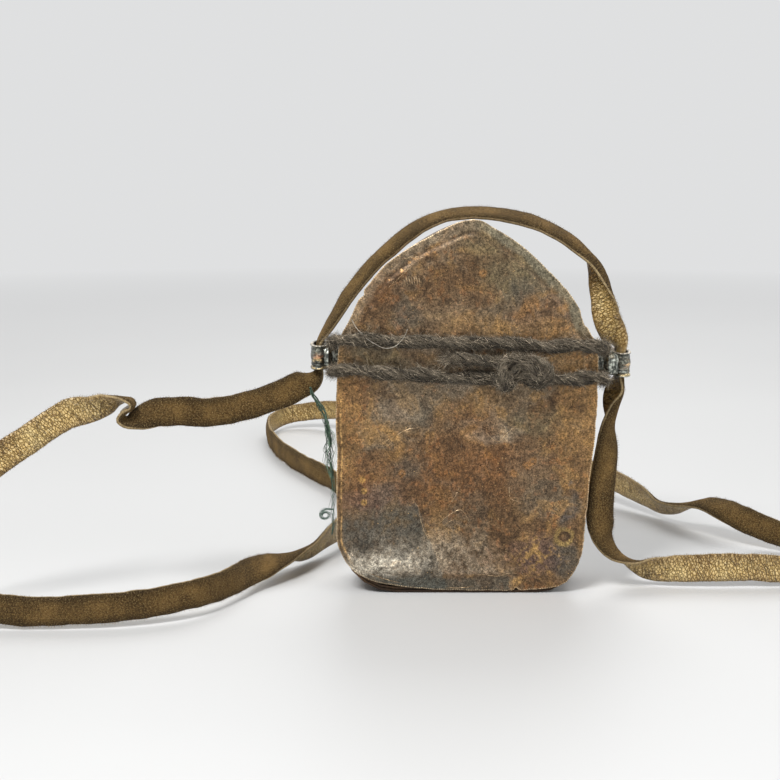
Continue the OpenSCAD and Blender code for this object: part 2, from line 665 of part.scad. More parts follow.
// The thread wound round each prayer roll
module roll_threads() {
  for (x = [-roll_pitch, 0, roll_pitch])
    color("firebrick") translate([x, roll_y, base_rest + roll_l / 2])
      rotate_extrude($fn = 48) translate([roll_d / 2 + 0.05, -thread_band / 2])
        square([thread_d / 4, thread_band]);
}

// ---------------------------------------------------------------- strap and tie

module strap_over() { color("saddlebrown") flat_strap(STRAP_OVER); }
module strap_loop() { color("saddlebrown") flat_strap(STRAP_LOOP); }
module tie_left() { color("dimgray") yarn(TIE_LEFT); }
module tie_right() { color("dimgray") yarn(TIE_RIGHT); }
module tie_knot() { color("dimgray") yarn(smooth(KNOT, knot_steps)); }

side_wall();
front_panel();
border_wire();
window_frame();
window_pane();
window_tabs();
back_plate();
cover_flange();
lug_left();
lug_right();
lug_seat_left();
lug_seat_right();
clay_tablet();
silk_pad();
prayer_roll_left();
prayer_roll_middle();
prayer_roll_right();
roll_threads();
strap_over();
strap_loop();
tie_left();
tie_right();
tie_knot();
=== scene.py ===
"""Looks of the ghau amulet box. Lengths in the lists are millimetres; meshes are made in metres."""

import math

import bpy
import numpy as np
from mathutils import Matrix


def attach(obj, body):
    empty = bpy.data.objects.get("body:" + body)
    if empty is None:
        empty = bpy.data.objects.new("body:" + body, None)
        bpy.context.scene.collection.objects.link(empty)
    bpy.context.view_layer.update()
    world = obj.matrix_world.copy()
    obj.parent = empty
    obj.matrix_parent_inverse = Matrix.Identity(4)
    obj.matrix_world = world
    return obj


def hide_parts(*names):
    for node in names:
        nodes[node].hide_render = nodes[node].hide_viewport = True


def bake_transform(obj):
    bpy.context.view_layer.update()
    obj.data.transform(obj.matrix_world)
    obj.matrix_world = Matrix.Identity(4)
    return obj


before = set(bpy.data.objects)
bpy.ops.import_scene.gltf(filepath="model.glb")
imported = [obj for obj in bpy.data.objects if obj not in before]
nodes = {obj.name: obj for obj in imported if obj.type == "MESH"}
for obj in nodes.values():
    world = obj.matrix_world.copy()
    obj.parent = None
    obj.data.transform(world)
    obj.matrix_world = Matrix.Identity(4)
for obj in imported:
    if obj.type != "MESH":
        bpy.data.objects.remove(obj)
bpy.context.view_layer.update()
MM = 0.001

# ------------------------------------------------------------------ camera


CAMERA_PLACE, CAMERA_LENS, CAMERA_TILT = (-0.0285, -0.5342, 0.16676), 66.74, 9.809


def make_camera():
    """The photo's camera: level from side to side and tilted down."""
    data = bpy.data.cameras.new("camera")
    data.sensor_width = 36.0
    data.lens = CAMERA_LENS
    cam = bpy.data.objects.new("camera", data)
    cam.location = CAMERA_PLACE
    cam.rotation_euler = (math.radians(90 - CAMERA_TILT), 0, 0)
    bpy.context.scene.collection.objects.link(cam)
    bpy.context.scene.camera = cam


make_camera()

# ------------------------------------------------------------------ shapes


def unit(v):
    v = np.asarray(v, float)
    return v / np.maximum(np.linalg.norm(v, axis=-1, keepdims=True), 1e-12)


def run(points):
    """Length along a line at each of its points."""
    return np.concatenate([[0], np.cumsum(np.linalg.norm(np.diff(points, axis=0), axis=1))])


def smooth_line(points, step):
    """A centripetal Catmull-Rom curve through rows of points, by steps along the first three columns."""
    p = np.asarray(points, float)
    q = np.vstack([2 * p[0] - p[1], p, 2 * p[-1] - p[-2]])
    out = []
    for i in range(1, len(q) - 2):
        t = [0.0]
        for a, b in zip(q[i - 1 : i + 2], q[i : i + 3]):
            t.append(t[-1] + max(np.linalg.norm(b[:3] - a[:3]), 1e-9) ** 0.5)
        u = np.linspace(t[1], t[2], 24, endpoint=False)[:, None]
        a1 = (t[1] - u) / (t[1] - t[0]) * q[i - 1] + (u - t[0]) / (t[1] - t[0]) * q[i]
        a2 = (t[2] - u) / (t[2] - t[1]) * q[i] + (u - t[1]) / (t[2] - t[1]) * q[i + 1]
        a3 = (t[3] - u) / (t[3] - t[2]) * q[i + 1] + (u - t[2]) / (t[3] - t[2]) * q[i + 2]
        b1 = (t[2] - u) / (t[2] - t[0]) * a1 + (u - t[0]) / (t[2] - t[0]) * a2
        b2 = (t[3] - u) / (t[3] - t[1]) * a2 + (u - t[1]) / (t[3] - t[1]) * a3
        out.append((t[2] - u) / (t[2] - t[1]) * b1 + (u - t[1]) / (t[2] - t[1]) * b2)
    out = np.vstack(out + [p[-1:]])
    s = run(out[:, :3])
    n = max(2, int(round(s[-1] / step)) + 1)
    at = np.linspace(0, s[-1], n)
    return np.column_stack([np.interp(at, s, out[:, k]) for k in range(out.shape[1])])


def tangents(p):
    return unit(np.gradient(p, axis=0))


def carried(p, first=None):
    """Normals carried along the line p without twist."""
    t = tangents(p)
    n = np.zeros_like(p)
    v = np.array(first if first is not None else ([0, 0, 1] if abs(t[0, 2]) < 0.8 else [1, 0, 0]), float)
    for i in range(len(p)):
        v = v - (v @ t[i]) * t[i]
        v /= np.linalg.norm(v)
        n[i] = v
    return t, n, np.cross(t, n)


def wave(x, seed, octaves=3):
    """Smooth noise of one variable, about -1 to 1."""
    r = np.random.default_rng(seed)
    y = np.zeros_like(x, dtype=float)
    for k in range(octaves):
        for _ in range(3):
            y += np.sin(x * 2**k * r.uniform(0.7, 1.3) + r.uniform(0, 6.3)) / 3 / 1.7**k
    return y


def noise2(x, y, size, seed, octaves=4):
    """Value noise in two variables, about -1 to 1, with features of the given size."""
    out, amp, total = np.zeros(np.broadcast(x, y).shape), 1.0, 0.0
    for k in range(octaves):
        r = np.random.default_rng(seed * 31 + k)
        grid = r.uniform(-1, 1, (128, 128))
        u, v = x / size * 2**k + 37.2, y / size * 2**k + 41.7
        iu, iv = np.floor(u).astype(int), np.floor(v).astype(int)
        fu, fv = u - iu, v - iv
        fu, fv = fu * fu * (3 - 2 * fu), fv * fv * (3 - 2 * fv)
        g = lambda a, b: grid[(iu + a) % 128, (iv + b) % 128]
        low, high = g(0, 0) * (1 - fu) + g(1, 0) * fu, g(0, 1) * (1 - fu) + g(1, 1) * fu
        out = out + amp * (low * (1 - fv) + high * fv)
        total += amp
        amp *= 0.55
    return out / total * 1.6


def ramp(x, lo, hi):
    """A smooth rise from 0 at lo to 1 at hi."""
    t = np.clip((x - lo) / (hi - lo), 0, 1)
    return t * t * (3 - 2 * t)


def bell(x, width):
    """1 where x is 0, falling off smoothly both ways."""
    return np.exp(-((x / width) ** 2))


def grid_quads(rows, cols, loop=False, offset=0):
    """Quads of a grid of points, rows by cols; loop joins the last column to the first."""
    i, j = np.meshgrid(np.arange(rows - 1), np.arange(cols if loop else cols - 1), indexing="ij")
    k = (j + 1) % cols
    low, high = i * cols + offset, (i + 1) * cols + offset
    return np.stack([low + j, low + k, high + k, high + j], -1).reshape(-1, 4)


def make(name, verts, faces, mats, face_mats=None, uv=None, colors=None, smooth=True):
    """A mesh object from points in millimetres, faces, materials, and each point's uv and colour if given."""
    mesh = bpy.data.meshes.new(name)
    mesh.from_pydata((np.asarray(verts) * MM).tolist(), [], [list(map(int, f)) for f in faces])
    for m in mats:
        mesh.materials.append(m)
    if face_mats is not None:
        mesh.polygons.foreach_set("material_index", np.asarray(face_mats, dtype=np.int32))
    mesh.polygons.foreach_set("use_smooth", np.full(len(mesh.polygons), smooth))
    loops = np.zeros(len(mesh.loops), np.int32)
    mesh.loops.foreach_get("vertex_index", loops)
    if uv is not None:
        layer = mesh.uv_layers.new(name="uv")
        layer.data.foreach_set("uv", np.asarray(uv, np.float32)[loops].ravel())
    if colors is not None:
        layer = mesh.color_attributes.new("tint", "FLOAT_COLOR", "POINT")
        rgba = np.column_stack([colors, np.ones(len(colors))]).astype(np.float32)
        layer.data.foreach_set("color", rgba.ravel())
    mesh.validate()
    mesh.update()
    obj = bpy.data.objects.new(name, mesh)
    bpy.context.scene.collection.objects.link(obj)
    return obj


def settle(obj, body, node=None):
    """The body that a piece rides on and the solid that it stands for."""
    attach(obj, body)
    if node:
        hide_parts(node)
    return obj


def round_angles(count):
    return np.linspace(0, 2 * math.pi, count, endpoint=False)


def tube(line, radius, sides, first=None):
    """Rings round a line, with their quads. radius is a number or one for each point."""
    _, n, b = carried(line, first)
    a = round_angles(sides)[None, :, None]
    r = np.broadcast_to(radius, (len(line),))[:, None, None]
    ring = line[:, None] + r * (np.cos(a) * n[:, None] + np.sin(a) * b[:, None])
    return ring.reshape(-1, 3), grid_quads(len(line), sides, loop=True)


def band(count, first, second):
    """Quads between two rings of points that start at first and at second."""
    a = np.arange(count)
    b = (a + 1) % count
    return np.column_stack([a + first, b + first, b + second, a + second])


def edge_way(edge):
    """The way along a closed flat edge at each of its points."""
    return unit(np.roll(edge, -1, 0) - np.roll(edge, 1, 0))


def squarish(count, power):
    """A ring of points on a circle, pressed towards a square where the power is less than 1."""
    a = round_angles(count)
    ring = np.column_stack([np.cos(a), np.sin(a)])
    return np.sign(ring) * np.abs(ring) ** power


def joined(parts):
    """One list of points and one of faces from several."""
    verts, faces, base = [], [], 0
    for v, f in parts:
        verts.append(np.asarray(v, float))
        faces.extend([[int(k) + base for k in face] for face in f])
        base += len(v)
    return np.vstack(verts), faces


def fibres(roots, directions, length, width, curl, steps=4, seed=1):
    """Thin curved fibres as flat ribbons, one from each root."""
    r = np.random.default_rng(seed)
    n = len(roots)
    d = unit(directions + r.normal(0, 0.25, (n, 3)))
    bend = unit(r.normal(0, 1, (n, 3)))
    bend = unit(bend - (bend * d).sum(1, keepdims=True) * d)
    side = np.cross(d, bend)
    long = length * r.uniform(0.4, 1.0, n)
    rows = []
    for k in range(steps + 1):
        u = k / steps
        mid = roots + d * (long * u)[:, None] + bend * (curl * long * u * u)[:, None]
        half = width / 2 * (1 - 0.7 * u)
        rows.append(np.stack([mid - side * half, mid + side * half], 1))
    pts = np.stack(rows, 1)
    base = (np.arange(n) * (steps + 1) * 2)[:, None, None]
    k = np.arange(steps)[None, :, None] * 2
    quads = base + k + np.array([0, 1, 3, 2])[None, None, :]
    return pts.reshape(-1, 3), quads.reshape(-1, 4)


# ------------------------------------------------------------------ materials


class Paint:
    """A node material. Sockets and constants go in by name."""

    def __init__(self, name, **base):
        self.mat = bpy.data.materials.new(name)
        self.mat.use_nodes = True
        self.tree = self.mat.node_tree
        self.bsdf = self.tree.nodes["Principled BSDF"]
        self.set(self.bsdf, **base)

    def set(self, node, **inputs):
        for key, value in inputs.items():
            socket = node.inputs[int(key[1:])] if key[0] == "_" else node.inputs[key.replace("_", " ")]
            if isinstance(value, bpy.types.NodeSocket):
                self.tree.links.new(value, socket)
            elif isinstance(value, (tuple, list)) and len(value) == 3 and socket.type == "RGBA":
                socket.default_value = (*value, 1)
            else:
                socket.default_value = value
        return node

    def add(self, kind, props=None, out=0, **inputs):
        node = self.tree.nodes.new("ShaderNode" + kind)
        for key, value in (props or {}).items():
            setattr(node, key, value)
        self.set(node, **inputs)
        return node.outputs[out]

    def noise(self, scale, detail=4.0, rough=0.55, vector=None, out_colour=False):
        return self.add("TexNoise", out=1 if out_colour else 0, Vector=vector or self.place(), Scale=scale,
                        Detail=detail, Roughness=rough)

    def place(self):
        return self.add("TexCoord", out=3)

    def uv(self):
        return self.add("TexCoord", out=2)

    def tint(self):
        return self.add("VertexColor", {"layer_name": "tint"})

    def slant(self, vector):
        """A place turned a little, so that lines across run on a slant."""
        return self.add("VectorRotate", {"rotation_type": "Z_AXIS"}, Vector=vector, Angle=0.35)

    def stretch(self, vector, scale):
        return self.add("Mapping", Vector=vector, Scale=scale)

    def ramp(self, value, *stops):
        """A colour ramp through (place, colour) stops."""
        node = self.tree.nodes.new("ShaderNodeValToRGB")
        cr = node.color_ramp
        for k, (at, colour) in enumerate(stops):
            e = cr.elements[k] if k < 2 else cr.elements.new(at)
            e.position = at
            e.color = (*colour, 1) if isinstance(colour, tuple) else (colour, colour, colour, 1)
        self.tree.links.new(value, node.inputs[0])
        return node.outputs[0]

    def mix(self, a, b, factor, mode="MIX"):
        node = self.tree.nodes.new("ShaderNodeMix")
        node.data_type = "RGBA"
        node.blend_type = mode
        for socket, value in ((node.inputs[0], factor), (node.inputs[6], a), (node.inputs[7], b)):
            if isinstance(value, bpy.types.NodeSocket):
                self.tree.links.new(value, socket)
            else:
                socket.default_value = (*value, 1) if isinstance(value, tuple) else value
        return node.outputs[2]

    def math(self, op, a, b=0.0):
        return self.add("Math", {"operation": op}, _0=a, _1=b)

    def times(self, a, b):
        return self.math("MULTIPLY", a, b)

    def plus(self, a, b):
        return self.math("ADD", a, b)

    def rest(self, share):
        return self.math("SUBTRACT", 1.0, share)

    def bump(self, height, distance):
        return self.add("Bump", Height=height, Distance=distance, Strength=1.0)

    def stain(self, colour, tint, share, value, start, full):
        """The colour with a tint over it: none where the value is at start, its share where it is at full."""
        cover = self.ramp(value, *sorted([(start, 0.0), (full, 1.0)]))
        return self.mix(colour, tint, self.times(cover, share))

    def shade(self, colour, share, value, *stops):
        """The colour made darker and lighter by a share of a grey ramp."""
        return self.mix(colour, self.ramp(value, *stops), share, "MULTIPLY")

    def done(self, **inputs):
        self.set(self.bsdf, **inputs)
        return self.mat


def painted_side_shade(p, uv, colour, dark, share):
    """The strap's colour with painted shade at its sides, where they curl away from the light, from its uv
    across.
    """
    x = p.math("ABSOLUTE", p.add("SeparateXYZ", Vector=uv))
    wander = p.times(p.noise(260, 3, 0.6, uv), 0.0016)
    side = p.ramp(p.times(p.plus(x, wander), 160.0), (0.45, 0.0), (0.95, 1.0))
    return p.mix(colour, dark, p.times(side, share))


def leather_grain():
    """The strap's grain side: golden tan, pebbled, with fine creases across it, painted highlight on the
    pebbles and painted shade between them and in the creases.
    """
    p = Paint("leather_grain", Specular_IOR_Level=0.6)
    uv = p.uv()
    warp = p.mix(uv, p.noise(500, 3, vector=uv, out_colour=True), 0.0007, "ADD")
    cells = p.add("TexVoronoi", {"feature": "DISTANCE_TO_EDGE"}, Vector=p.stretch(warp, (0.85, 1.15, 1)),
                  Scale=930.0)
    crease = p.add("TexVoronoi", {"feature": "DISTANCE_TO_EDGE"},
                   Vector=p.stretch(p.slant(warp), (0.16, 1.1, 1)), Scale=640.0)
    fine, broad = p.noise(3000, 4, 0.65, uv), p.noise(60, 4, 0.6, uv)
    valley, fold = p.ramp(cells, (0.0, 0.0), (0.09, 1.0)), p.ramp(crease, (0.0, 0.0), (0.06, 1.0))
    patchy = p.ramp(p.noise(150, 3, 0.6, uv), (0.42, 0.15), (0.62, 1.0))
    colour = p.ramp(broad, (0.3, (0.40, 0.24, 0.068)), (0.52, (0.62, 0.41, 0.135)),
                    (0.72, (0.80, 0.60, 0.25)))
    # Painted highlight: pale tops on the pebbles
    colour = p.mix(colour, (0.92, 0.78, 0.46),
                   p.times(p.ramp(cells, (0.08, 0.0), (0.42, 0.75)), p.ramp(fine, (0.4, 0.2), (0.6, 1.0))))
    # Painted shade: dark valleys between the pebbles and dark creases across them
    colour = p.mix(colour, (0.15, 0.078, 0.024), p.times(p.rest(valley), 0.85))
    painted_fold_shade = p.times(p.times(p.rest(fold), patchy), 0.85)
    colour = p.mix(colour, (0.06, 0.03, 0.01), painted_fold_shade)
    colour = painted_side_shade(p, uv, colour, (0.20, 0.11, 0.035), 0.55)
    height = p.plus(p.times(valley, 0.7), p.plus(p.times(fold, 0.8), p.times(fine, 0.2)))
    return p.done(Base_Color=colour, Normal=p.bump(height, 0.0006),
                  Roughness=p.ramp(fine, (0.3, 0.2), (0.7, 0.38)))


def leather_suede():
    """The strap's flesh side: brown nap with painted shade at its sides, and lighter rubbed grains that are
    partly painted highlight.
    """
    p = Paint("leather_suede", Roughness=0.92, Specular_IOR_Level=0.15, Sheen_Weight=0.08,
              Sheen_Roughness=0.5, Sheen_Tint=(0.75, 0.55, 0.3))
    uv = p.uv()
    nap, grit = p.noise(1700, 5, 0.8, p.stretch(uv, (1, 0.7, 1))), p.noise(2600, 4, 0.75, uv)
    broad = p.noise(75, 5, 0.62, uv)
    colour = p.ramp(broad, (0.32, (0.040, 0.022, 0.008)), (0.48, (0.095, 0.054, 0.018)),
                    (0.66, (0.21, 0.122, 0.040)))
    colour = p.stain(colour, (0.36, 0.22, 0.075), 0.55, nap, 0.5, 0.62)
    colour = painted_side_shade(p, uv, colour, (0.024, 0.015, 0.007), 0.85)
    # Lighter rubbed grains, partly painted highlight on the nap
    colour = p.stain(colour, (0.66, 0.48, 0.20), 0.65, grit, 0.56, 0.64)
    colour = p.stain(colour, (0.020, 0.011, 0.005), 0.8, nap, 0.47, 0.36)
    height = p.plus(nap, p.times(grit, 0.5))
    return p.done(Base_Color=colour, Normal=p.bump(height, 0.0009))


def leather_edge():
    """The cut edge of the strap."""
    p = Paint("leather_edge", Roughness=0.9, Specular_IOR_Level=0.2)
    n = p.noise(1800, 5, 0.7, vector=p.uv())
    colour = p.ramp(n, (0.3, (0.12, 0.08, 0.036)), (0.6, (0.40, 0.30, 0.16)))
    return p.done(Base_Color=colour, Normal=p.bump(n, 0.0002))


def fibre_paint(name, dark, light):
    p = Paint(name, Roughness=0.9, Specular_IOR_Level=0.2, Sheen_Weight=0.3)
    n = p.noise(900, 3)
    return p.done(Base_Color=p.ramp(n, (0.35, dark), (0.65, light)))


GRAIN, SUEDE, EDGE = leather_grain(), leather_suede(), leather_edge()
NAP = fibre_paint("suede_nap", (0.09, 0.052, 0.02), (0.34, 0.22, 0.09))

# ------------------------------------------------------------------ strap

LEFT, RIGHT, BACK, FRONT = (-1, 0, 0), (1, 0, 0), (0, -1, 0), (0, 1, 0)
STRAP_W, STRAP_T, STRAP_COLS, STRAP_STEP = 10.4, 1.8, 11, 0.9
NAP_PER_MM, NAP_L, NAP_W = 26, 0.8, 0.06

# Places along the strap, each with the way that the suede side looks there
STRAP_LOOP = [
    (-54.7, 0, 87.7, *LEFT), (-54.7, 0, 83.5, *LEFT), (-57.2, -2.5, 80, -0.7, -0.7, 0.2),
    (-62.5, -6.5, 77, -0.1, -1, 0.3), (-73, -11, 73, 0, -1, 0.2), (-94, -17, 69, *BACK),
    (-105, -20, 70, 0, -1, 0.2), (-113.5, -22, 69.8, 0, -0.92, 0.4), (-119.5, -23, 68.4, 0, -0.6, 0.8),
    (-123.4, -23.6, 67.2, 0.2, -0.1, 1), (-125.2, -23.8, 68.8, 1, 0, 0.3),
    (-123.4, -24, 70.9, 0.7, 0, -0.7), (-121, -24.2, 72.6, 0.8, 0, -0.5),
    (-121.4, -24.6, 74.6, 0.7, 0.1, 0.9), (-125.5, -25, 75.2, 0, 0.4, 1),
    (-130.5, -25.6, 73.8, 0, 0.75, 0.6), (-135.5, -26.8, 72.2, 0, 0.9, 0.4), (-142, -28, 71, *FRONT),
    (-154, -31, 64, *FRONT), (-166, -34, 56, -0.2, 1, -0.1), (-177, -38, 46, -0.6, 0.8, 0),
    (-183, -43, 33, -1, 0.2, 0), (-183, -50, 20, -0.9, -0.4, -0.3), (-177, -54, 11, -0.4, -0.8, -0.5),
    (-163, -55, 7, *BACK), (-140, -55, 6.5, *BACK), (-115, -51, 7.5, 0.1, -1, 0),
    (-97, -42, 8.5, 0.5, -0.9, 0), (-87, -27, 8, 0.85, -0.5, 0.1), (-80, -11, 7.5, 0.8, -0.4, 0.6),
    (-71, 4, 8, 0.1, -0.1, 1), (-65, 14, 7, -0.45, 0.25, 0.9), (-60, 23, 6, -0.75, 0.4, 0.6),
    (-52, 38, 9, -0.9, 0.4, 0.2), (-46, 65, 7, *LEFT), (-46, 100, 5.6, *LEFT), (-54, 138, 5.6, -1, -0.3, 0),
    (-72, 176, 5.6, -1, -0.4, 0), (-87, 215, 5.6, -1, -0.3, 0), (-96, 255, 5.6, -1, -0.1, 0),
    (-97, 279, 6.5, -1, 0.1, 0), (-90, 296, 8, -0.7, 0.7, 0), (-75, 300, 10, 0.1, 1, 0),
    (-57, 288, 13, 0.4, 0.9, 0), (-30, 260, 14, 0.6, 0.8, 0), (10, 209, 12, 0.7, 0.7, 0),
    (53, 149, 14, 0.7, 0.7, 0), (74, 119, 12, 0.8, 0.6, 0.1), (85, 102, 9, 0.8, 0.5, 0.3),
    (92, 89, 6.8, 0.6, 0.4, 0.7), (98, 77, 10, 0.2, 0.1, 1), (106, 65, 14.5, -0.2, -0.2, 1),
    (112, 57, 13.8, -0.4, -0.4, 0.8), (119, 50, 11, -0.5, -0.8, 0.4), (132, 41, 7, -0.3, -1, 0),
    (142, 32, 5.6, -0.8, -0.6, 0), (145, 18, 5.6, *LEFT), (139, 3, 5.6, -0.7, 0.7, 0),
    (125, -5, 6.5, -0.2, 1, 0), (104, -6, 7.5, *FRONT), (82, -6, 7, *FRONT), (70, -6, 7, 0.1, 0.9, 0.4),
    (62, -6, 9.5, 0.5, 0.3, 0.8), (54, -7, 16, 0.8, -0.5, 0.3), (50.5, -9, 25, 0.3, -1, 0),
    (50.5, -9, 37, 0.3, -1, 0), (52, -7, 48, 0.4, -0.9, 0), (53, -5.5, 58, 0.7, -0.7, 0),
    (54.5, -3, 67, 1, 0, 0), (56.5, -1, 74, 0.9, 0.5, 0), (57.6, 0, 80, *RIGHT), (57.6, 0, 85, *RIGHT),
]
STRAP_OVER = [
    (57.6, 0, 85, *RIGHT), (57.5, 0, 90.3, 1, 0.2, 0), (54.5, -1, 96, 0.5, 1, 0),
    (51.9, -2, 102, 0.4, 1, 0), (51.2, -2, 109, 0.75, 0.75, 0.1), (49.4, -2, 116.5, 0.95, 0.35, 0.2),
    (46, -1, 123, 0.85, -0.05, 0.4), (40, 0, 129, 0.5, -0.38, 0.8), (32, 0, 134, 0.4, -0.38, 0.8),
    (21, 0, 138.3, 0.2, -0.4, 0.9), (10, 0, 140.2, 0.1, -0.35, 1), (0, 0, 140.6, 0, -0.33, 1),
    (-10, 0, 139, -0.1, -0.35, 1), (-19, 0, 135, -0.4, -0.4, 0.8), (-32.5, 0, 124, -0.6, -0.4, 0.7),
    (-38.5, 0, 117.3, -0.7, -0.4, 0.6), (-44.3, 0, 110, -0.85, -0.4, 0.4),
    (-48.6, 0, 103, -0.95, -0.3, 0.3), (-52, 0, 97.5, -1, -0.2, 0.1), (-54.7, 0, 92.5, *LEFT),
    (-54.7, 0, 87.7, *LEFT),
]


def make_strap(name, route, seed, curls):
    """A leather strap with cupped sides and uneven edges, its nap, and its middle line."""
    line = smooth_line(route, STRAP_STEP)
    mid, hint = line[:, :3], line[:, 3:]
    s = run(mid)
    t = tangents(mid)
    face = unit(hint - (hint * t).sum(1, keepdims=True) * t)
    across = np.cross(t, face)
    cols = STRAP_COLS
    u = np.linspace(-1, 1, cols)
    half = STRAP_W / 2
    left = half * (1 + 0.045 * wave(s / 6, seed) + 0.02 * wave(s / 1.6, seed + 1))
    right = half * (1 + 0.045 * wave(s / 7, seed + 2) + 0.02 * wave(s / 1.7, seed + 3))
    cup = 0.4 * wave(s / 16, seed + 4) - 0.65
    for *place, radius, depth in curls:
        cup = cup - depth * np.exp(-((mid - place) ** 2).sum(1) / radius**2)
    off = np.where(u[None] < 0, left[:, None], right[:, None]) * u[None]
    bow = cup[:, None] * (u[None] ** 2 - 0.4) + 0.12 * noise2(s[:, None] + 0 * off, off, 5, seed + 5)
    thick = STRAP_T / 2 * (1 - 0.5 * np.abs(u[None]) ** 8)
    suede = mid[:, None] + across[:, None] * off[..., None] + face[:, None] * (bow + thick)[..., None]
    grain = mid[:, None] + across[:, None] * off[..., None] + face[:, None] * (bow - thick)[..., None]
    suede[..., 2], grain[..., 2] = np.maximum(suede[..., 2], 0.1), np.maximum(grain[..., 2], 0.1)
    ring = np.concatenate([suede, grain[:, ::-1]], 1)
    n = ring.shape[1]
    quads = grid_quads(len(mid), n, loop=True)
    col = np.tile(np.arange(n), len(mid) - 1)
    mats = np.where((col == cols - 1) | (col == n - 1), 2, np.where(col < cols - 1, 0, 1))
    uv = np.stack([np.concatenate([off, off[:, ::-1]], 1), np.repeat(s[:, None], n, 1)], -1)
    ends = [list(range(n))[::-1], list(range((len(mid) - 1) * n, len(mid) * n))]
    faces = quads[:, ::-1].tolist() + ends
    obj = make(name, ring.reshape(-1, 3), faces, [SUEDE, GRAIN, EDGE], list(mats) + [2, 2],
               uv=uv.reshape(-1, 2) * MM)
    r = np.random.default_rng(seed)
    count = int(s[-1] * NAP_PER_MM)
    k = r.integers(2, len(mid) - 2, count)
    side = r.choice([0, cols - 1], count)
    inner = np.clip(side + np.where(side == 0, 1, -1) * r.integers(0, 2, count), 0, cols - 1)
    w = r.uniform(0, 1, count)[:, None]
    roots = suede[k, side] * w + suede[k, inner] * (1 - w)
    way = face[k] * r.uniform(0.1, 1, count)[:, None]
    way = way + across[k] * (np.sign(u[side]) * r.uniform(0.3, 1.2, count))[:, None]
    way = way + t[k] * r.normal(0, 0.5, count)[:, None]
    nap = make(name + "_nap", *fibres(roots, way, NAP_L, NAP_W, 0.6, 2, seed), [NAP], smooth=False)
    return obj, nap, mid


def cord_piece(name, route, seed, node, curls, **facts):
    """A strap along its route, on the case, in place of its solid. Each curl is a place where its sides curl
    in, with how far and how deep.
    """
    obj, nap, mid = make_strap(name, route, seed, curls)
    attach(obj, "case")
    nap.parent = obj
    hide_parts(node)


cord_piece("strap_loop_leather", STRAP_LOOP, 21, "strap_loop", [(55.5, -2, 69, 10, 3.0)], lay="loose")
cord_piece("strap_over_leather", STRAP_OVER, 47, "strap_over", [(49, -2, 115, 11, 3.2)], lay="loose")

# ------------------------------------------------------------------ back plate

PLATE_OUT, PLATE_IN, EDGE_STEP = -14.2, -13.5, 0.42
PLATE_MID = (0.0, 65.0)
STEP_RISE, CROWN_RISE, CROWN_SHARE = 0.75, 1.25, 0.87

# The plate's edge in x and z, down its right side from the tip and up its left side, with its worn places
PLATE_EDGE = [
    (1.5, 138.8), (4.7, 138.1), (8.6, 135.9), (12.6, 133.6), (16.3, 131.2), (19.6, 128.8), (23.6, 125.3),
    (27.2, 121.9), (30, 119), (32.4, 116.6), (33.8, 115.0), (35.5, 113.4), (37.5, 110.8), (39.7, 107),
    (40.6, 104.6), (41.2, 102.8), (42.0, 100.8), (43.2, 99.7), (44.5, 97.2), (46.2, 94.4), (47.1, 91),
    (47.3, 84), (47.3, 73.2), (47, 64), (46.5, 56.4), (45.3, 44.9), (44.7, 35.3), (43.8, 24.3), (43, 15.3),
    (41, 9.4), (37.1, 3.9), (33.1, 2.1), (23, 1.0), (19.9, 1.0), (18.4, 1.9), (17.6, 1.0), (8, 0.8),
    (-7.9, 1.0), (-18.7, 1.7), (-27.4, 2.8), (-34.1, 4.2), (-40.8, 7.3), (-44.5, 11.2), (-46.8, 15.3),
    (-48.2, 19.5), (-48.2, 30), (-48.3, 40.8), (-47.9, 53), (-48.4, 64), (-48.2, 73.2), (-47.7, 84),
    (-47.3, 91.6), (-46.2, 97), (-44, 101.1), (-42.4, 104.4), (-40.6, 108.3), (-39.6, 110.2),
    (-37.9, 111.7), (-37.8, 113.4), (-36.2, 115.4), (-33.2, 119.3), (-29.9, 122.8), (-25, 126.4),
    (-20.6, 129.3), (-14.8, 132.4), (-8.5, 135.7), (-3.5, 137.9), (1.5, 138.8),
]


def inset(points, edge):
    """Distance of each point to the nearest point of the edge."""
    out = np.empty(len(points))
    for i in range(0, len(points), 4000):
        out[i : i + 4000] = np.sqrt(((points[i : i + 4000, None] - edge[None]) ** 2).sum(-1).min(1))
    return out


def over(colour, top, share):
    """A colour laid over others by a share for each point."""
    return colour * (1 - share[:, None]) + np.array(top) * share[:, None]


def crown(s):
    """The rise of the plate's middle, by scale from the middle."""
    return CROWN_RISE * (1 - np.clip(s / CROWN_SHARE, 0, 1) ** 2)


def plate_relief(x, z, d, s):
    """The plate's height over its border, by place, distance to the edge and scale from the middle."""
    step = STEP_RISE * ramp(d + 0.5 * noise2(x, z, 16, 3, 2), 3.7, 6.2)
    dents = 0.24 * noise2(x, z, 24, 4, 2) + 0.12 * noise2(x, z, 7, 5, 3) + 0.035 * noise2(x, z, 1.7, 6, 3)
    fold = bell(z - 6.6 - 0.4 * noise2(x, z, 9, 7, 2), 0.5) * (np.abs(x + 8) < 27)
    bead = bell(d - 1.2 - 0.2 * noise2(x, z, 12, 8, 2), 0.4)
    bead = bead * ramp(-x, 38, 44) * ramp(z, 8, 14) * ramp(-z, -66, -56)
    corner = bell(x + 30, 16) * bell(z - 13, 5)
    return step + crown(s) + dents * ramp(d, 0, 3) - 0.22 * fold + 0.2 * bead + 0.25 * corner


# The colours of the plate's patina; the pale one is dust and painted sheen
BROWN, DARK, OCHRE = (0.165, 0.102, 0.054), (0.062, 0.036, 0.019), (0.34, 0.205, 0.08)
RUST, GREY, SLATE = (0.22, 0.095, 0.034), (0.20, 0.165, 0.12), (0.075, 0.084, 0.08)
PALE_DUST_AND_SHEEN, GREEN, PURPLE = (0.44, 0.40, 0.34), (0.17, 0.165, 0.11), (0.13, 0.088, 0.085)
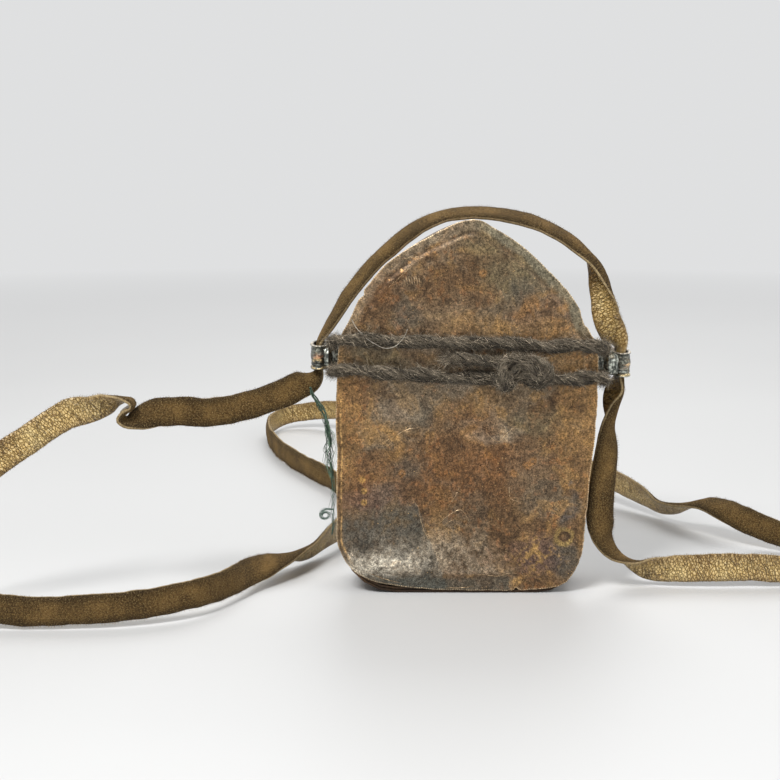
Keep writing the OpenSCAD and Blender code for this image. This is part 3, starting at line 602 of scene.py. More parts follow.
# Places with one colour: the colour, its share, and each place's x, z and two radii
PATCHES = (
    (DARK, 0.45, ((-4, 41, 26, 12), (-28, 112, 13, 9), (5, 118, 22, 6), (10, 34, 16, 9))),
    (RUST, 0.4, ((-4, 46, 24, 12), (-33, 114, 9, 5), (27, 105, 10, 8), (-40, 42, 7, 10))),
    (RUST, 0.4, ((3, 63, 8, 5), (14, 50, 12, 5), (-44, 84, 5, 18))),
    (GREY, 0.55, ((-9, 103, 17, 8), (-20, 76, 15, 8), (22, 44, 8, 12), (0, 84, 30, 6))),
    (GREEN, 0.6, ((14, 118, 9, 9), (-35, 89, 14, 6), (6, 131, 8, 6), (26, 122, 8, 8), (25, 66, 10, 5))),
    (OCHRE, 0.6, ((41, 68, 7, 22), (36, 86, 12, 5), (6, 100, 12, 4), (-45, 66, 4, 24))),
    (OCHRE, 0.6, ((33, 99, 12, 3.5), (6, 76, 7, 6), (-32, 62, 12, 2.5), (-28, 52, 5, 3))),
    # Pale streaks: dust with painted sheen on it
    (PALE_DUST_AND_SHEEN, 0.4, ((9, 58.5, 9, 1.8), (16, 62, 5, 2.5), (-25, 69, 8, 2.2), (-12, 93, 8, 3))),
    (PALE_DUST_AND_SHEEN, 0.4, ((-5, 78, 5, 3),)),
    (SLATE, 0.65, ((-24, 47, 6, 4), (-15, 68, 4, 4), (20, 112, 5, 4), (-22, 104, 5, 5))),
)
# Painted glints: bright specks where the bent foot catches the light, each place's x, z and two radii
GLINTS = (
    (-27, 12.6, 4, 1.6), (-23.4, 9.8, 4.4, 1.6), (-17.7, 14.2, 1.6, 1.4), (-43.5, 14.5, 1.6, 1.4),
    (-11.4, 15.8, 1.4, 1),
)


def plate_tint(x, z, d):
    """The plate's patina: brown and ochre mottling, with slate, pale and rusty places like the photo's, and
    painted sheen and glints near its foot.
    """
    xw, zw = x + 3.2 * noise2(x, z, 9, 11, 4), z + 3.2 * noise2(x, z, 9, 12, 4)
    n1, n2, n3 = noise2(xw, zw, 15, 13), noise2(xw, zw, 4.5, 14), noise2(x, z, 1.5, 15, 3)

    def spot(cx, cz, rx, rz, soft=0.6):
        return 1 - ramp(np.hypot((xw - cx) / rx, (zw - cz) / rz), 1 - soft, 1 + soft)

    c = np.tile(np.array(BROWN), (len(x), 1))
    c = over(c, GREY, 0.65 * ramp(n1, -0.1, 0.5))
    c = over(c, OCHRE, 0.55 * ramp(n2 + 0.3 * n1, 0.1, 0.7))
    c = over(c, DARK, 0.6 * ramp(-n2 - 0.2 * n3, 0.15, 0.7))
    c = over(c, RUST, 0.5 * ramp(n3 + 0.5 * noise2(x, z, 12, 16), 0.45, 0.9))
    for top, share, places in PATCHES:
        for cx, cz, rx, rz in places:
            c = over(c, top, share * spot(cx, cz, rx, rz) * (0.65 + 0.35 * n2).clip(0, 1))
    top_line = 31 + (x + 46) * 6 / 26 + 2 * n2
    right_line = -20 + (37 - np.minimum(z, 37)) * 7 / 19 + 0.6 * n3
    c = over(c, PURPLE, 0.4 * (1 - ramp(np.abs(z - top_line - 3), 2, 7)) * (1 - ramp(x, -30, -20)))
    corner = (1 - ramp(z - top_line, -6, 2)) * (1 - ramp(x - right_line, -0.5, 0.8))
    c = over(c, SLATE, 0.85 * corner * (0.8 + 0.25 * n3).clip(0, 1))
    # Painted sheen: a pale glow low on the plate where the bent metal catches the light, with a whiter patch
    # in it
    shine = ramp(z, 5.5, 9) * (1 - ramp(z - 4 * n1, 12, 25)) * (1 - ramp(x, 8, 20)) * ramp(-x, -60, 46)
    c = over(c, PALE_DUST_AND_SHEEN, 0.85 * shine * (0.6 + 0.6 * n2 + 0.3 * n3).clip(0, 1))
    c = over(c, (0.62, 0.60, 0.55), 0.8 * spot(-30, 12, 13, 4.5) * (0.55 + 0.5 * n3).clip(0, 1))
    foot = (1 - ramp(z + 0.5 * n2, 4.8, 7.2)) * (x < 16) * ramp(x, -40, -24)
    c = over(c, SLATE, 0.8 * foot * (0.75 + 0.4 * n2).clip(0, 1))
    c = over(c, SLATE, 0.7 * spot(36.5, 12, 5, 8))
    vein = bell(noise2(xw, zw, 5, 21, 3), 0.12)
    c = over(c, PURPLE, 0.6 * spot(26, 13, 9, 8))
    veined = (vein + ramp(n3 + 0.4 * n2, 0.5, 0.8)).clip(0, 1)
    c = over(c, (0.42, 0.27, 0.10), 0.75 * spot(26, 13, 9, 9) * veined)
    # Painted glints at the places above
    glint = ramp(n3 + 0.5 * noise2(x, z, 0.8, 22, 2), 0.35, 0.7)
    for place in GLINTS:
        c = over(c, (0.95, 0.82, 0.66), spot(*place) * glint)
    ring = np.hypot(x - 36.2, z - 21.6) + 0.4 * n3
    c = over(c, (0.33, 0.235, 0.09), 0.75 * ramp(ring, 1.7, 2.5) * (1 - ramp(ring, 3.4, 4.2)))
    c = over(c, DARK, 0.85 * bell(ring - 1.6, 0.55))
    for cx, cz in ((-38.7, 43.4), (-38.0, 39.1), (-38.1, 34.8), (-37.2, 83)):
        c = over(c, (0.45, 0.28, 0.09), 0.8 * bell(np.hypot(x - cx, z - cz) - 0.7, 0.4))
    for cx, cz, rx, rz in ((38.8, 42.1, 1.0, 1.0), (38.9, 36.7, 1.3, 2.4), (37.9, 29, 1.5, 3.4)):
        c = over(c, (0.06, 0.07, 0.08), 0.7 * spot(cx, cz, rx, rz, 0.7) * (0.8 + 0.5 * n3).clip(0, 1))
    for cx, cz in ((22, 49), (7, 53), (17, 46), (24, 50.5), (-24, 46), (4.8, 119.5)):
        c = over(c, (0.36, 0.18, 0.06), 0.6 * bell(np.hypot(x - cx, z - cz) + 0.5 * n3 - 0.9, 0.5))
    arch = ramp(z, 92, 100)
    rim = arch * (1 - ramp(d + 0.9 * n2, 2.4, 4.4))
    c = over(c, (0.32, 0.27, 0.20), 0.5 * rim * (0.8 + 0.4 * n3).clip(0, 1))
    c = over(c, (0.17, 0.18, 0.14), 0.5 * rim * ramp(x, 0, 8))
    c = over(c, OCHRE, 0.3 * (1 - arch) * (1 - ramp(d + 0.7 * n2, 1.2, 3.0)) * ramp(z, 10, 18))
    line = bell(d - 4.8 - 0.5 * n2, 0.9) * arch
    c = over(c, DARK, 0.5 * line)
    c = over(c, (0.62, 0.36, 0.15), 0.7 * line * (x < -12) * (x > -33) * ramp(n3 + 0.4 * n2, 0.25, 0.6))
    left_bead = (x < -40) * ramp(z, 8, 14) * (1 - ramp(z, 60, 84))
    c = over(c, DARK, 0.5 * bell(d - 1.1, 0.45) * left_bead)
    c = over(c, (0.75, 0.48, 0.2), 0.75 * bell(d - 1.75, 0.22) * left_bead * (0.7 + 0.8 * n3).clip(0, 1))
    c = over(c, (0.70, 0.45, 0.18), 0.8 * spot(18.6, 2.6, 2.6, 1.6, 0.4) * (0.6 + 0.7 * n3).clip(0, 1))
    c = over(c, (0.92, 0.74, 0.52), (0.75 + 0.4 * n2).clip(0, 1) * (1 - ramp(d + 0.12 * n2, 0.15, 0.45)))
    return c * (0.96, 0.90, 0.80) * (1 + 0.22 * n3)[:, None].clip(0.5, 1.5)


def plate_metal():
    """Old copper under its patina, coloured by the tint, with pits, specks and fine rubbed lines."""
    p = Paint("plate_patina", Metallic=0.6)
    at = p.place()
    fine, grit, cloud = p.noise(1700, 5, 0.85, at), p.noise(800, 5, 0.75, at), p.noise(160, 4, 0.6, at)
    pits = p.add("TexVoronoi", Vector=at, Scale=1100.0)
    specks = p.add("TexVoronoi", Vector=at, Scale=620.0)
    hairline = p.noise(650, 2, 0.5, p.stretch(at, (8, 1, 0.35)))
    colour = p.shade(p.tint(), 0.85, fine, (0.36, 0.2), (0.48, 0.85), (0.6, 1.9))
    colour = p.shade(colour, 0.7, grit, (0.36, 0.35), (0.5, 1.0), (0.64, 1.7))
    colour = p.stain(colour, (0.018, 0.012, 0.010), 0.75, pits, 0.2, 0.1)
    gold = p.times(p.ramp(specks, (0.07, 1.0), (0.15, 0.0)), p.ramp(cloud, (0.48, 0.0), (0.6, 0.8)))
    colour = p.mix(colour, (0.66, 0.42, 0.18), gold)
    colour = p.stain(colour, (0.50, 0.40, 0.27), 0.35, hairline, 0.66, 0.76)
    height = p.plus(p.times(fine, 0.5), p.plus(grit, p.times(hairline, 0.3)))
    height = p.plus(height, p.times(p.ramp(pits, (0.05, 0.0), (0.25, 1.0)), 0.5))
    rough = p.ramp(p.plus(p.times(cloud, 0.6), p.times(fine, 0.4)), (0.38, 0.24), (0.62, 0.48))
    return p.done(Base_Color=colour, Roughness=rough, Normal=p.bump(height, 0.00008))


def make_plate():
    """The plate: rings scaled from its edge to its middle, outside and inside, joined round the edge."""
    edge = smooth_line(PLATE_EDGE, EDGE_STEP)[:-1]
    way = edge_way(edge)
    out = np.column_stack([-way[:, 1], way[:, 0]])
    s = np.arange(len(edge)) * EDGE_STEP
    rough = 0.6 + 0.9 * ramp(edge[:, 0], 25, 42) * ramp(edge[:, 1], 2, 12) + 0.6 * (edge[:, 1] < 9)
    edge = edge + out * (rough * (0.05 * wave(s / 0.55, 71) + 0.09 * wave(s / 2.3, 72)))[:, None]
    middle = np.array(PLATE_MID)
    scales = np.concatenate([[1, 0.9985, 0.996, 0.992], np.linspace(0.986, 0.012, 125)])
    flat = middle + scales[:, None, None] * (edge - middle)[None]
    x, z = flat[..., 0].ravel(), flat[..., 1].ravel()
    d = inset(np.column_stack([x, z]), edge[::2])
    rise = plate_relief(x, z, d, np.repeat(scales, len(edge)))
    outer = np.column_stack([x, PLATE_OUT - rise + 0.3 * (1 - ramp(d, -0.15, 0.35)), z])
    back_scales = np.array([1, 0.99, 0.93, 0.88, 0.7, 0.4, 0.02])
    back = middle + back_scales[:, None, None] * (edge - middle)[None]
    bx, bz = back[..., 0].ravel(), back[..., 1].ravel()
    bd = inset(np.column_stack([bx, bz]), edge[::2])
    back_s = np.repeat(back_scales, len(edge))
    back_rise = STEP_RISE * ramp(bd, 3.9, 6.4) + crown(back_s)
    inner = np.column_stack([bx, PLATE_IN - back_rise - 0.2 * (back_s == 1), bz])
    n = len(edge)
    quads = [grid_quads(len(scales), n, True), grid_quads(len(back_scales), n, True, len(outer))[:, ::-1]]
    quads.append(band(n, len(outer), 0))
    faces = np.vstack(quads).tolist()
    faces.append(list(range((len(scales) - 1) * n, len(scales) * n)))
    faces.append(list(range(len(outer) + (len(back_scales) - 1) * n, len(outer) + len(inner)))[::-1])
    tint = np.vstack([plate_tint(x, z, d), plate_tint(bx, bz, bd + 2) * 0.6])
    obj = make("back_plate_sheet", np.vstack([outer, inner]), faces, [plate_metal()], colors=tint)
    return settle(obj, "cover", "back_plate")


back_plate = make_plate()

# Scratches on the plate, each a line of x and z
SCRATCHES = [
    [(-10.8, 26.8), (-6.8, 30.2), (-2.5, 32.3), (0.9, 27.8)], [(-9.1, 26.1), (-4.1, 29.2)],
    [(-2.9, 41.1), (-4.9, 36.7), (-7.2, 33.6)], [(15.6, 43.2), (15.9, 36.7), (19.7, 35.0)],
    [(-20.5, 36.7), (-18.1, 33), (-16.8, 26.8), (-14.4, 21.3), (-12.4, 18.5)],
    [(1.4, 6.4), (6.1, 7.1), (11.4, 6.4), (16.1, 7.8), (19.4, 7.5)], [(-8, 1.8), (-1.3, 1.9), (2.8, 2.5)],
    [(-24.2, 124.6), (-19.7, 125.4), (-15.8, 124.9)], [(-3.4, 104.9), (-0.8, 102.9), (0.2, 100.6)],
    [(-38.1, 8.2), (-30.8, 5.4), (-24.1, 3.6)], [(29, 52), (33, 49.5)],
    [(-30, 58), (-22, 62.5), (-17, 63.5)], [(6, 62), (11, 58), (14.5, 61.5), (18, 64)],
]
SCRATCHES += [[(-23.6 + 0.9 * k, 118.6), (-23.1 + 0.9 * k, 115.4)] for k in range(7)]
SCRATCHES += [[(-28.9 + 1.05 * k, 114.4 + 0.95 * k), (-28.1 + 1.05 * k, 115.6 + 0.95 * k)]
              for k in range(8)]


def make_scratches():
    """Thin bright burrs raised along the plate's scratches."""
    points = np.array([v.co for v in back_plate.data.vertices]) / MM
    points = points[points[:, 1] < PLATE_OUT - 0.02]
    parts = []
    for k, route in enumerate(SCRATCHES):
        flat = smooth_line([(x, 0, z) for x, z in route], 0.4)
        at = np.arange(len(flat))
        flat[:, 0] += 0.12 * wave(at / 2.5, 300 + k)
        flat[:, 2] += 0.12 * wave(at / 2.1, 400 + k)
        near = [((points[:, [0, 2]] - q) ** 2).sum(1).argmin() for q in flat[:, [0, 2]]]
        line = np.column_stack([flat[:, 0], points[near, 1] + 0.01, flat[:, 2]])
        fade = np.sin(np.linspace(0.25, math.pi - 0.25, len(at)))
        thin = 0.085 * fade * (1 + 0.4 * wave(at / 1.5, 500 + k))
        parts.append(tube(line, np.maximum(thin, 0.02), 5))
    p = Paint("bare_copper", Metallic=0.9, Roughness=0.35)
    bare = p.done(Base_Color=p.ramp(p.noise(1200, 3), (0.4, (0.34, 0.20, 0.09)), (0.6, (0.88, 0.66, 0.40))))
    settle(make("back_plate_scratches", *joined(parts), [bare]), "cover")


make_scratches()

# ------------------------------------------------------------------ lugs

LUG_W, LUG_D, LUG_H, LUG_WALL, LUG_RIM = 7.0, 16.5, 9.0, 0.8, 0.455
# Ribs round a lug: the middle, width and height of each
LUG_RIBS = ((4.2, 0.35, 0.5), (-4.2, 0.4, 0.45), (-2.7, 0.3, 0.22), (0.3, 1.9, 0.42), (2.7, 0.25, 0.1))
LUG_HOLLOW = 0.06
SEAT_X, NECK_D, NECK_H = 47.0, 8.0, 6.0
SHOULDER_D, SHOULDER_H, SHOULDER_RIGHT_X, SHOULDER_LEFT_X = 3.3, 1.25, 51.4, 50.6
NECK_DARK, NECK_LIGHT = (0.09, 0.098, 0.088), (0.60, 0.62, 0.54)


def lug_metal():
    """Brass under a grey-green patina, with painted highlights on its ribs and rims, and copper-red in
    places.
    """
    p = Paint("lug_patina", Metallic=0.75)
    at = p.place()
    grit, cloud, fine = p.noise(1100, 5, 0.7, at), p.noise(260, 4, 0.6, at), p.noise(3200, 3, 0.6, at)
    colour = p.shade(p.tint(), 0.9, grit, (0.36, 0.2), (0.5, 0.95), (0.62, 2.2))
    colour = p.stain(colour, (0.55, 0.42, 0.25), 0.5, cloud, 0.58, 0.68)
    colour = p.stain(colour, (0.02, 0.022, 0.02), 0.7, grit, 0.42, 0.32)
    height = p.plus(grit, p.times(fine, 0.4))
    return p.done(Base_Color=colour, Roughness=p.ramp(cloud, (0.35, 0.28), (0.65, 0.5)),
                  Normal=p.bump(height, 0.00018))


LUG_METAL = lug_metal()


def lug_tint(u, z, side, seed):
    n, m = noise2(u * 8, z, 2.2, seed), noise2(u * 8, z, 0.9, seed + 1)
    c = np.tile(np.array((0.15, 0.148, 0.12)), (len(u), 1))
    c = over(c, (0.05, 0.055, 0.05), 0.75 * ramp(-n, 0.0, 0.6))
    c = over(c, (0.42, 0.46, 0.42), 0.6 * ramp(n + 0.3 * m, 0.2, 0.7))
    # The side that faces the camera and the lamps
    back = bell(u - 0.75, 0.14)
    c = over(c, (0.40, 0.15, 0.055), 0.8 * back * bell(z - 0.1, 1.2) * ramp(m + 0.6 * n, -0.1, 0.5))
    # Painted highlight: a golden band across the middle swell on the side facing the lamps
    c = over(c, (0.88, 0.66, 0.34),
             0.9 * back * bell(z + (0.9 if side < 0 else 0.2), 0.7) * ramp(m, -0.1, 0.4))
    c = over(c, (0.03, 0.028, 0.024), 0.8 * bell(z + 2.1, 0.28))
    # Painted highlight: a golden line near the lower rim
    c = over(c, (0.80, 0.60, 0.30),
             0.8 * ramp(-z, 3.0, 3.6) * (1 - ramp(-z, 3.9, 4.3)) * ramp(m, -0.3, 0.3))
    # Painted highlight: a pale line along the top rim
    return over(c, (0.70, 0.62, 0.50), 0.85 * ramp(z, 4.15, 4.4) * ramp(n, -0.9, 0.1))


def make_lug(node, side, at, seed):
    """A beaten oval tube with rolled rims, a full middle and a rib over its foot, on a neck to the case."""
    cols, levels = 144, np.linspace(-LUG_H / 2, LUG_H / 2, 61)
    swell = sum(high * bell(levels - middle, width) for middle, width, high in LUG_RIBS) - LUG_HOLLOW
    a = round_angles(cols)
    core = np.array([LUG_W / 2 - LUG_RIM, LUG_D / 2 - LUG_RIM])
    ring = squarish(cols, 0.82)
    u = np.tile(a / (2 * math.pi), len(levels))
    z = np.repeat(levels, cols)
    dent = 0.10 * noise2(np.cos(a)[None] * 9, np.sin(a)[None] * 9 + levels[:, None] * 1.2, 4, seed, 3)
    radial = lambda extra: ring[None] * (core[None, None] + extra)
    outer = radial(swell[:, None, None] + dent[..., None])
    inner = radial(dent[..., None] * 0.4 - LUG_WALL)[::-1]
    rings = np.concatenate([outer, inner])
    zz = np.concatenate([z, z[::-1]])
    verts = np.column_stack([side * rings[..., 0].ravel() + at[0], rings[..., 1].ravel() + at[1],
                             zz + at[2]])
    n = len(levels) * 2
    faces = np.vstack([grid_quads(n, cols, True), band(cols, (n - 1) * cols, 0)])
    if side < 0:
        faces = faces[:, ::-1]
    tint = np.vstack([lug_tint(u, z, side, seed), np.tile((0.06, 0.05, 0.04), (len(z), 1))])
    neck_v, neck_f = neck(side, at)
    speck = ramp(noise2(neck_v[:, 0] * 2 + neck_v[:, 1], neck_v[:, 2], 0.8, seed + 5, 3), -0.3, 0.6)
    tint = np.vstack([tint, over(np.tile(NECK_DARK, (len(speck), 1)), NECK_LIGHT, speck)])
    whole = joined([(verts, faces), (neck_v, neck_f)])
    settle(make(node + "_tube", *whole, [LUG_METAL], colors=tint), "case", node)


def neck(side, at):
    """The neck: a bar with rounded corners that swells in a rough shoulder before the tube."""
    sides, stations = 72, 26
    a, shape = round_angles(sides), squarish(sides, 0.5)
    tube_x = abs(at[0]) - LUG_W / 2
    xs = np.linspace(tube_x + 1.6, SEAT_X, stations)
    shoulder = SHOULDER_RIGHT_X if side > 0 else SHOULDER_LEFT_X
    grow = ramp(xs, shoulder - 0.6, shoulder + 0.6)
    bumps = 0.16 * noise2(xs[:, None], a[None] * 4.5, 0.9, 91 + side, 3)
    deep = (NECK_D / 2 + SHOULDER_D * grow)[:, None] * shape[None, :, 0] * (1 + bumps / 4)
    high = (NECK_H / 2 + SHOULDER_H * grow)[:, None] * shape[None, :, 1] * (1 + bumps / 3)
    x = np.repeat(side * xs, sides)
    verts = np.column_stack([x, deep.ravel() + at[1], high.ravel() + at[2]])
    faces = grid_quads(stations, sides, True)
    return verts, faces if side > 0 else faces[:, ::-1]


make_lug("lug_left", -1, (-54.7, 0, 87.7), 81)
make_lug("lug_right", 1, (57.6, 0, 85.0), 83)

# ------------------------------------------------------------------ wool

WOOL_R, WOOL_TURN, WOOL_STEP, CORE_STRANDS, COVER_STRANDS, FRAY_COUNT = 2.7, 34.0, 0.8, 5, 14, 900
FIBRE_STEPS = 3
FIBRE_POINTS = 2 * (FIBRE_STEPS + 1)
STRAND_TONE, FIBRE_TONE = (0.115, 0.095, 0.068), (0.165, 0.136, 0.098)
# Fibres over each ply, close ones and stray ones: how many for each mm, their length, width and rise
FELT = ((46, 3.4, 0.10, 0.10), (7, 4.2, 0.06, 0.75))

# Places along the wool tie, each with the share of the yarn's thickness that it has there
TIE_LEFT = [
    (0, -19.4, 95, 1), (-12, -19.4, 95.2, 1), (-24, -19.2, 95.4, 1), (-36, -18.6, 95.8, 1),
    (-44, -17.8, 96, 0.96), (-47.8, -17, 95.6, 0.8), (-50.1, -14.4, 94.8, 0.54),
    *[(-49.3, y, z, 0.52) for y, z in ((-10, 93.4), (-4, 92.7), (3.4, 92.7), (5.6, 91.8), (6.4, 89.7))],
    *[(-49.3, y, z, 0.52) for y, z in ((6.4, 85.7), (5.6, 83.6), (3.4, 82.7), (-4, 82.7), (-10, 83))],
    (-50.1, -14.4, 83.8, 0.54), (-47.8, -17, 84.5, 0.8), (-44, -17.8, 84.6, 0.96), (-36, -18.6, 84.2, 1),
    (-24, -19.2, 83.5, 1), (-12, -19.4, 82.9, 1), (-2, -19.4, 82.4, 1), (6, -19.4, 82, 1),
]
TIE_RIGHT = [
    (0, -19.4, 95, 1), (12, -19.4, 94.8, 1), (25, -19.2, 93.8, 1), (36, -18.6, 93.6, 1),
    (44, -17.8, 93.4, 1), (48.2, -17, 93, 0.8), (50.2, -13, 92, 0.66),
    *[(50.3, y, z, 0.66) for y, z in ((-8, 91), (-2, 90.7), (4, 90.7), (6.4, 89.4), (7, 87))],
    *[(50.3, y, z, 0.66) for y, z in ((7, 83), (6.4, 80.6), (4, 79.3), (-2, 79.3), (-8, 79.3))],
    (50.2, -13, 80.2, 0.66), (48.2, -17, 81.4, 0.8), (44, -17.8, 81.8, 1), (36, -18.6, 81.6, 1),
    (29, -19.4, 81.5, 1), (23, -19.4, 81.6, 0.9),
]
KNOT = [
    (6, -19.4, 82, 1), (9.6, -20, 81.5, 0.95), (12.6, -22.5, 79.6, 0.9), (13.6, -25.6, 81.3, 0.9),
    (11.6, -26.4, 85.3, 0.9), (11.4, -25.9, 88.3, 0.9), (14.4, -25, 90.2, 0.85), (19.2, -24.8, 89.6, 0.85),
    (24, -24.8, 88.6, 0.88), (27.8, -24.6, 86.8, 0.88), (28.6, -24.6, 84, 0.88), (26.4, -24.9, 81.8, 0.88),
    (22.4, -25.2, 81.5, 0.85), (19.6, -24.6, 83.2, 0.8), (18, -21.9, 85.3, 0.75), (14.5, -20.4, 87, 0.75),
    (10, -20, 88, 0.9), (4, -20.2, 88.7, 1.05), (-2, -20, 89.1, 1.1), (-6.5, -19.8, 89.3, 0.9),
]
KNOT_CORE = [
    (15, -23, 81, 0.8), (15.8, -24.4, 84, 1.0), (17, -24.6, 86.6, 0.95), (20.4, -24.6, 87.4, 1.0),
    (24, -25, 86.6, 1.05), (25.6, -25, 84.6, 1.0), (23.4, -25.2, 83.2, 1.05), (20.4, -25, 84.4, 1.0),
    (18, -24.2, 82.4, 0.9),
]


def wool_paint(name, gain):
    p = Paint(name, Roughness=0.95, Specular_IOR_Level=0.1, Sheen_Weight=0.1, Sheen_Roughness=0.6)
    n = p.noise(2500, 3, 0.7)
    return p.done(Base_Color=p.shade(p.tint(), 1.0, n, (0.3, 0.45 * gain), (0.7, 1.5 * gain)),
                  Normal=p.bump(n, 0.00015))


WOOL, FUZZ = wool_paint("wool_strands", 1.0), wool_paint("wool_fuzz", 1.3)


def painted_underside_shade(height):
    """Painted shade: a darker tone for what lies under the yarn's middle line, where its shadow falls."""
    return 0.5 + 0.5 * ramp(height / WOOL_R, -0.7, 0.3)


def wool(name, routes, node, seed, frayed=()):
    """Two loose plies under a felt of fine fibres, with stray fibres, and frayed ends of the first route."""
    parts, tints, loose, painted_shade_below = [], [], [], []
    r = np.random.default_rng(seed)
    for which, places in enumerate(routes):
        line = smooth_line(places, WOOL_STEP)
        mid, share = line[:, :3], line[:, 3]
        s = np.arange(len(mid)) * np.linalg.norm(mid[1] - mid[0])
        t, n, b = carried(mid)
        for ply in range(2):
            turn = 2 * math.pi * s / WOOL_TURN + math.pi * ply + 0.8 * wave(s / 11, seed + ply)
            away = share * WOOL_R * 0.36 * (1 + 0.25 * wave(s / 7, seed + 5 + ply))
            core = mid + away[:, None] * (np.cos(turn)[:, None] * n + np.sin(turn)[:, None] * b)
            for k in range(CORE_STRANDS + COVER_STRANDS):
                first = k < CORE_STRANDS
                count = CORE_STRANDS if first else COVER_STRANDS
                spin = 2 * math.pi * (k / count + s / (WOOL_TURN * 0.6))
                spin = spin + 0.8 * wave(s / 4, seed * 7 + k + 40 * ply)
                far = share * WOOL_R * (0.22 if first else 0.44)
                far = far * (1 + 0.25 * wave(s / 2.4, seed * 5 + k + 60 * ply))
                path = core + far[:, None] * (np.cos(spin)[:, None] * n + np.sin(spin)[:, None] * b)
                thick = share * WOOL_R * 0.12 * (1 + 0.45 * wave(s / 1.7, seed * 3 + k + 90 * ply))
                parts.append(tube(path, thick, 5, n[0]))
                tone = np.array(STRAND_TONE) * r.uniform(0.25, 2.0)
                # Each strand's tone carries painted shade below the yarn's middle line
                tints.append(np.repeat(painted_underside_shade((path - mid)[:, 2]), 5)[:, None] * tone)
            for per_mm, length, width, rise in FELT:
                count = int(s[-1] * per_mm)
                k = r.integers(1, len(mid) - 1, count)
                a = r.uniform(0, 2 * math.pi, count)
                radial = np.cos(a)[:, None] * n[k] + np.sin(a)[:, None] * b[k]
                round_ = np.cross(t[k], radial)
                roots = core[k] + radial * (share[k] * WOOL_R * r.uniform(0.48, 0.66, count))[:, None]
                lean = r.normal(0.55, 0.55, count)[:, None]
                way = (t[k] + lean * round_) * r.choice([-1, 1], count)[:, None] + rise * radial
                loose.append(fibres(roots, way, length, width, 0.5, FIBRE_STEPS, seed + ply))
                # Painted shade for fibres rooted below the yarn's middle line
                painted_shade_below.append(painted_underside_shade((roots - mid[k])[:, 2]))
        for end in frayed if which == 0 else ():
            at, out = (0, -t[0]) if end == "start" else (-1, t[-1])
            tips = mid[at] + r.normal(0, WOOL_R * share[at] * 0.45, (FRAY_COUNT, 3))
            frays = out + r.normal(0, 0.5, (FRAY_COUNT, 3))
            loose.append(fibres(tips, frays, 5.0, 0.09, 0.6, FIBRE_STEPS, seed + 1))
            painted_shade_below.append(np.ones(FRAY_COUNT))
    verts, faces = joined(parts)
    fv, ff = joined(loose)
    pick = r.uniform(0, 1, len(fv) // FIBRE_POINTS)
    tone = np.where(pick < 0.42, 0.35, np.where(pick < 0.85, 1.15, 3.6)) * r.uniform(0.7, 1.3, len(pick))
    shade = np.repeat(tone * np.concatenate(painted_shade_below), FIBRE_POINTS)[:, None] * np.array(FIBRE_TONE)
    mats = [0] * len(faces) + [1] * len(ff)
    whole = joined([(verts, faces), (fv, ff)])
    obj = make(name, *whole, [WOOL, FUZZ], mats, colors=np.vstack(tints + [shade]))
    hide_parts(node)
    return obj


for node, route, seed in (("tie_left", TIE_LEFT, 31), ("tie_right", TIE_RIGHT, 33)):
    tie = wool(node + "_wool", [route], node, seed)
    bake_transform(tie)
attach(wool("tie_knot_wool", [KNOT, KNOT_CORE], "tie_knot", 35, ("end",)), "cover")

# ------------------------------------------------------------------ thread and hairs

# The dark green thread that hangs by the left lug, its loose tail by the foot, and the hair on the plate
THREAD_ROUTE = [
    (-57.8, -9.4, 77), (-57, -9.6, 74.2), (-55, -9.2, 70.8), (-53, -8.8, 67), (-51.6, -8.8, 62),
    (-50.8, -9.6, 57.4), (-50.6, -10, 55),
]
THREAD_SPREAD = [
    (-51.8, -8.8, 62.6), (-50.9, -10.2, 57.4), (-51.2, -10.2, 51.7), (-50.6, -11, 46.8),
    (-49.9, -11.4, 43.6),
]
THREAD_WISPS = [
    (-50.2, -11.2, 46), (-49.4, -12, 38), (-49.8, -12.3, 32), (-49.5, -12.3, 26), (-50.2, -12.4, 22),
]
THREAD_TAIL = [
    (-49.4, -12.2, 31.5), (-51, -12.6, 31.8), (-53, -13.2, 31.5), (-54.3, -13.4, 30), (-53.6, -13.4, 28.5),
    (-52, -13.2, 28.3), (-51, -13, 29.4), (-51.6, -13.2, 30.6), (-53.2, -13.6, 30.6), (-53.8, -13.6, 29.5),
]
HAIR_ROUTE = [
    (-42.2, -15.6, 103), (-41.1, -16.6, 100.9), (-38.6, -18.4, 98), (-35.2, -21.6, 95.4),
    (-30.7, -22.8, 93.6), (-26.6, -22.6, 94.4), (-23.6, -20.6, 97), (-22.2, -17.2, 99.6),
]


THREAD_STEP = 0.8


def thread_paint():
    p = Paint("green_thread", Roughness=0.75, Specular_IOR_Level=0.25, Sheen_Weight=0.3)
    n = p.noise(1500, 3)
    return p.done(Base_Color=p.shade(p.tint(), 1.0, n, (0.3, 0.5), (0.7, 1.5)))


def strands(name, bundles, mat, seed):
    """Loose strands: for each bundle a route, a count, their spread, a radius and a colour."""
    r = np.random.default_rng(seed)
    parts, tints = [], []
    for route, count, spread, radius, colour, pale in bundles:
        line = smooth_line(route, THREAD_STEP)
        s = np.arange(len(line)) * THREAD_STEP
        for k in range(count):
            u = s / s[-1]
            sway = np.stack([wave(s / 6 + 3 * j, seed * 50 + 3 * k + j, 4) for j in range(3)], 1)
            path = line + sway * (spread * (0.35 + np.sin(math.pi * np.clip(u, 0.05, 0.95))))[:, None]
            parts.append(tube(path, radius * r.uniform(0.6, 1.2), 5))
            tone = np.array(pale if r.uniform() < 0.3 else colour) * r.uniform(0.6, 1.6)
            tints.append(np.tile(tone, (len(path) * 5, 1)))
    return make(name, *joined(parts), [mat], colors=np.vstack(tints))


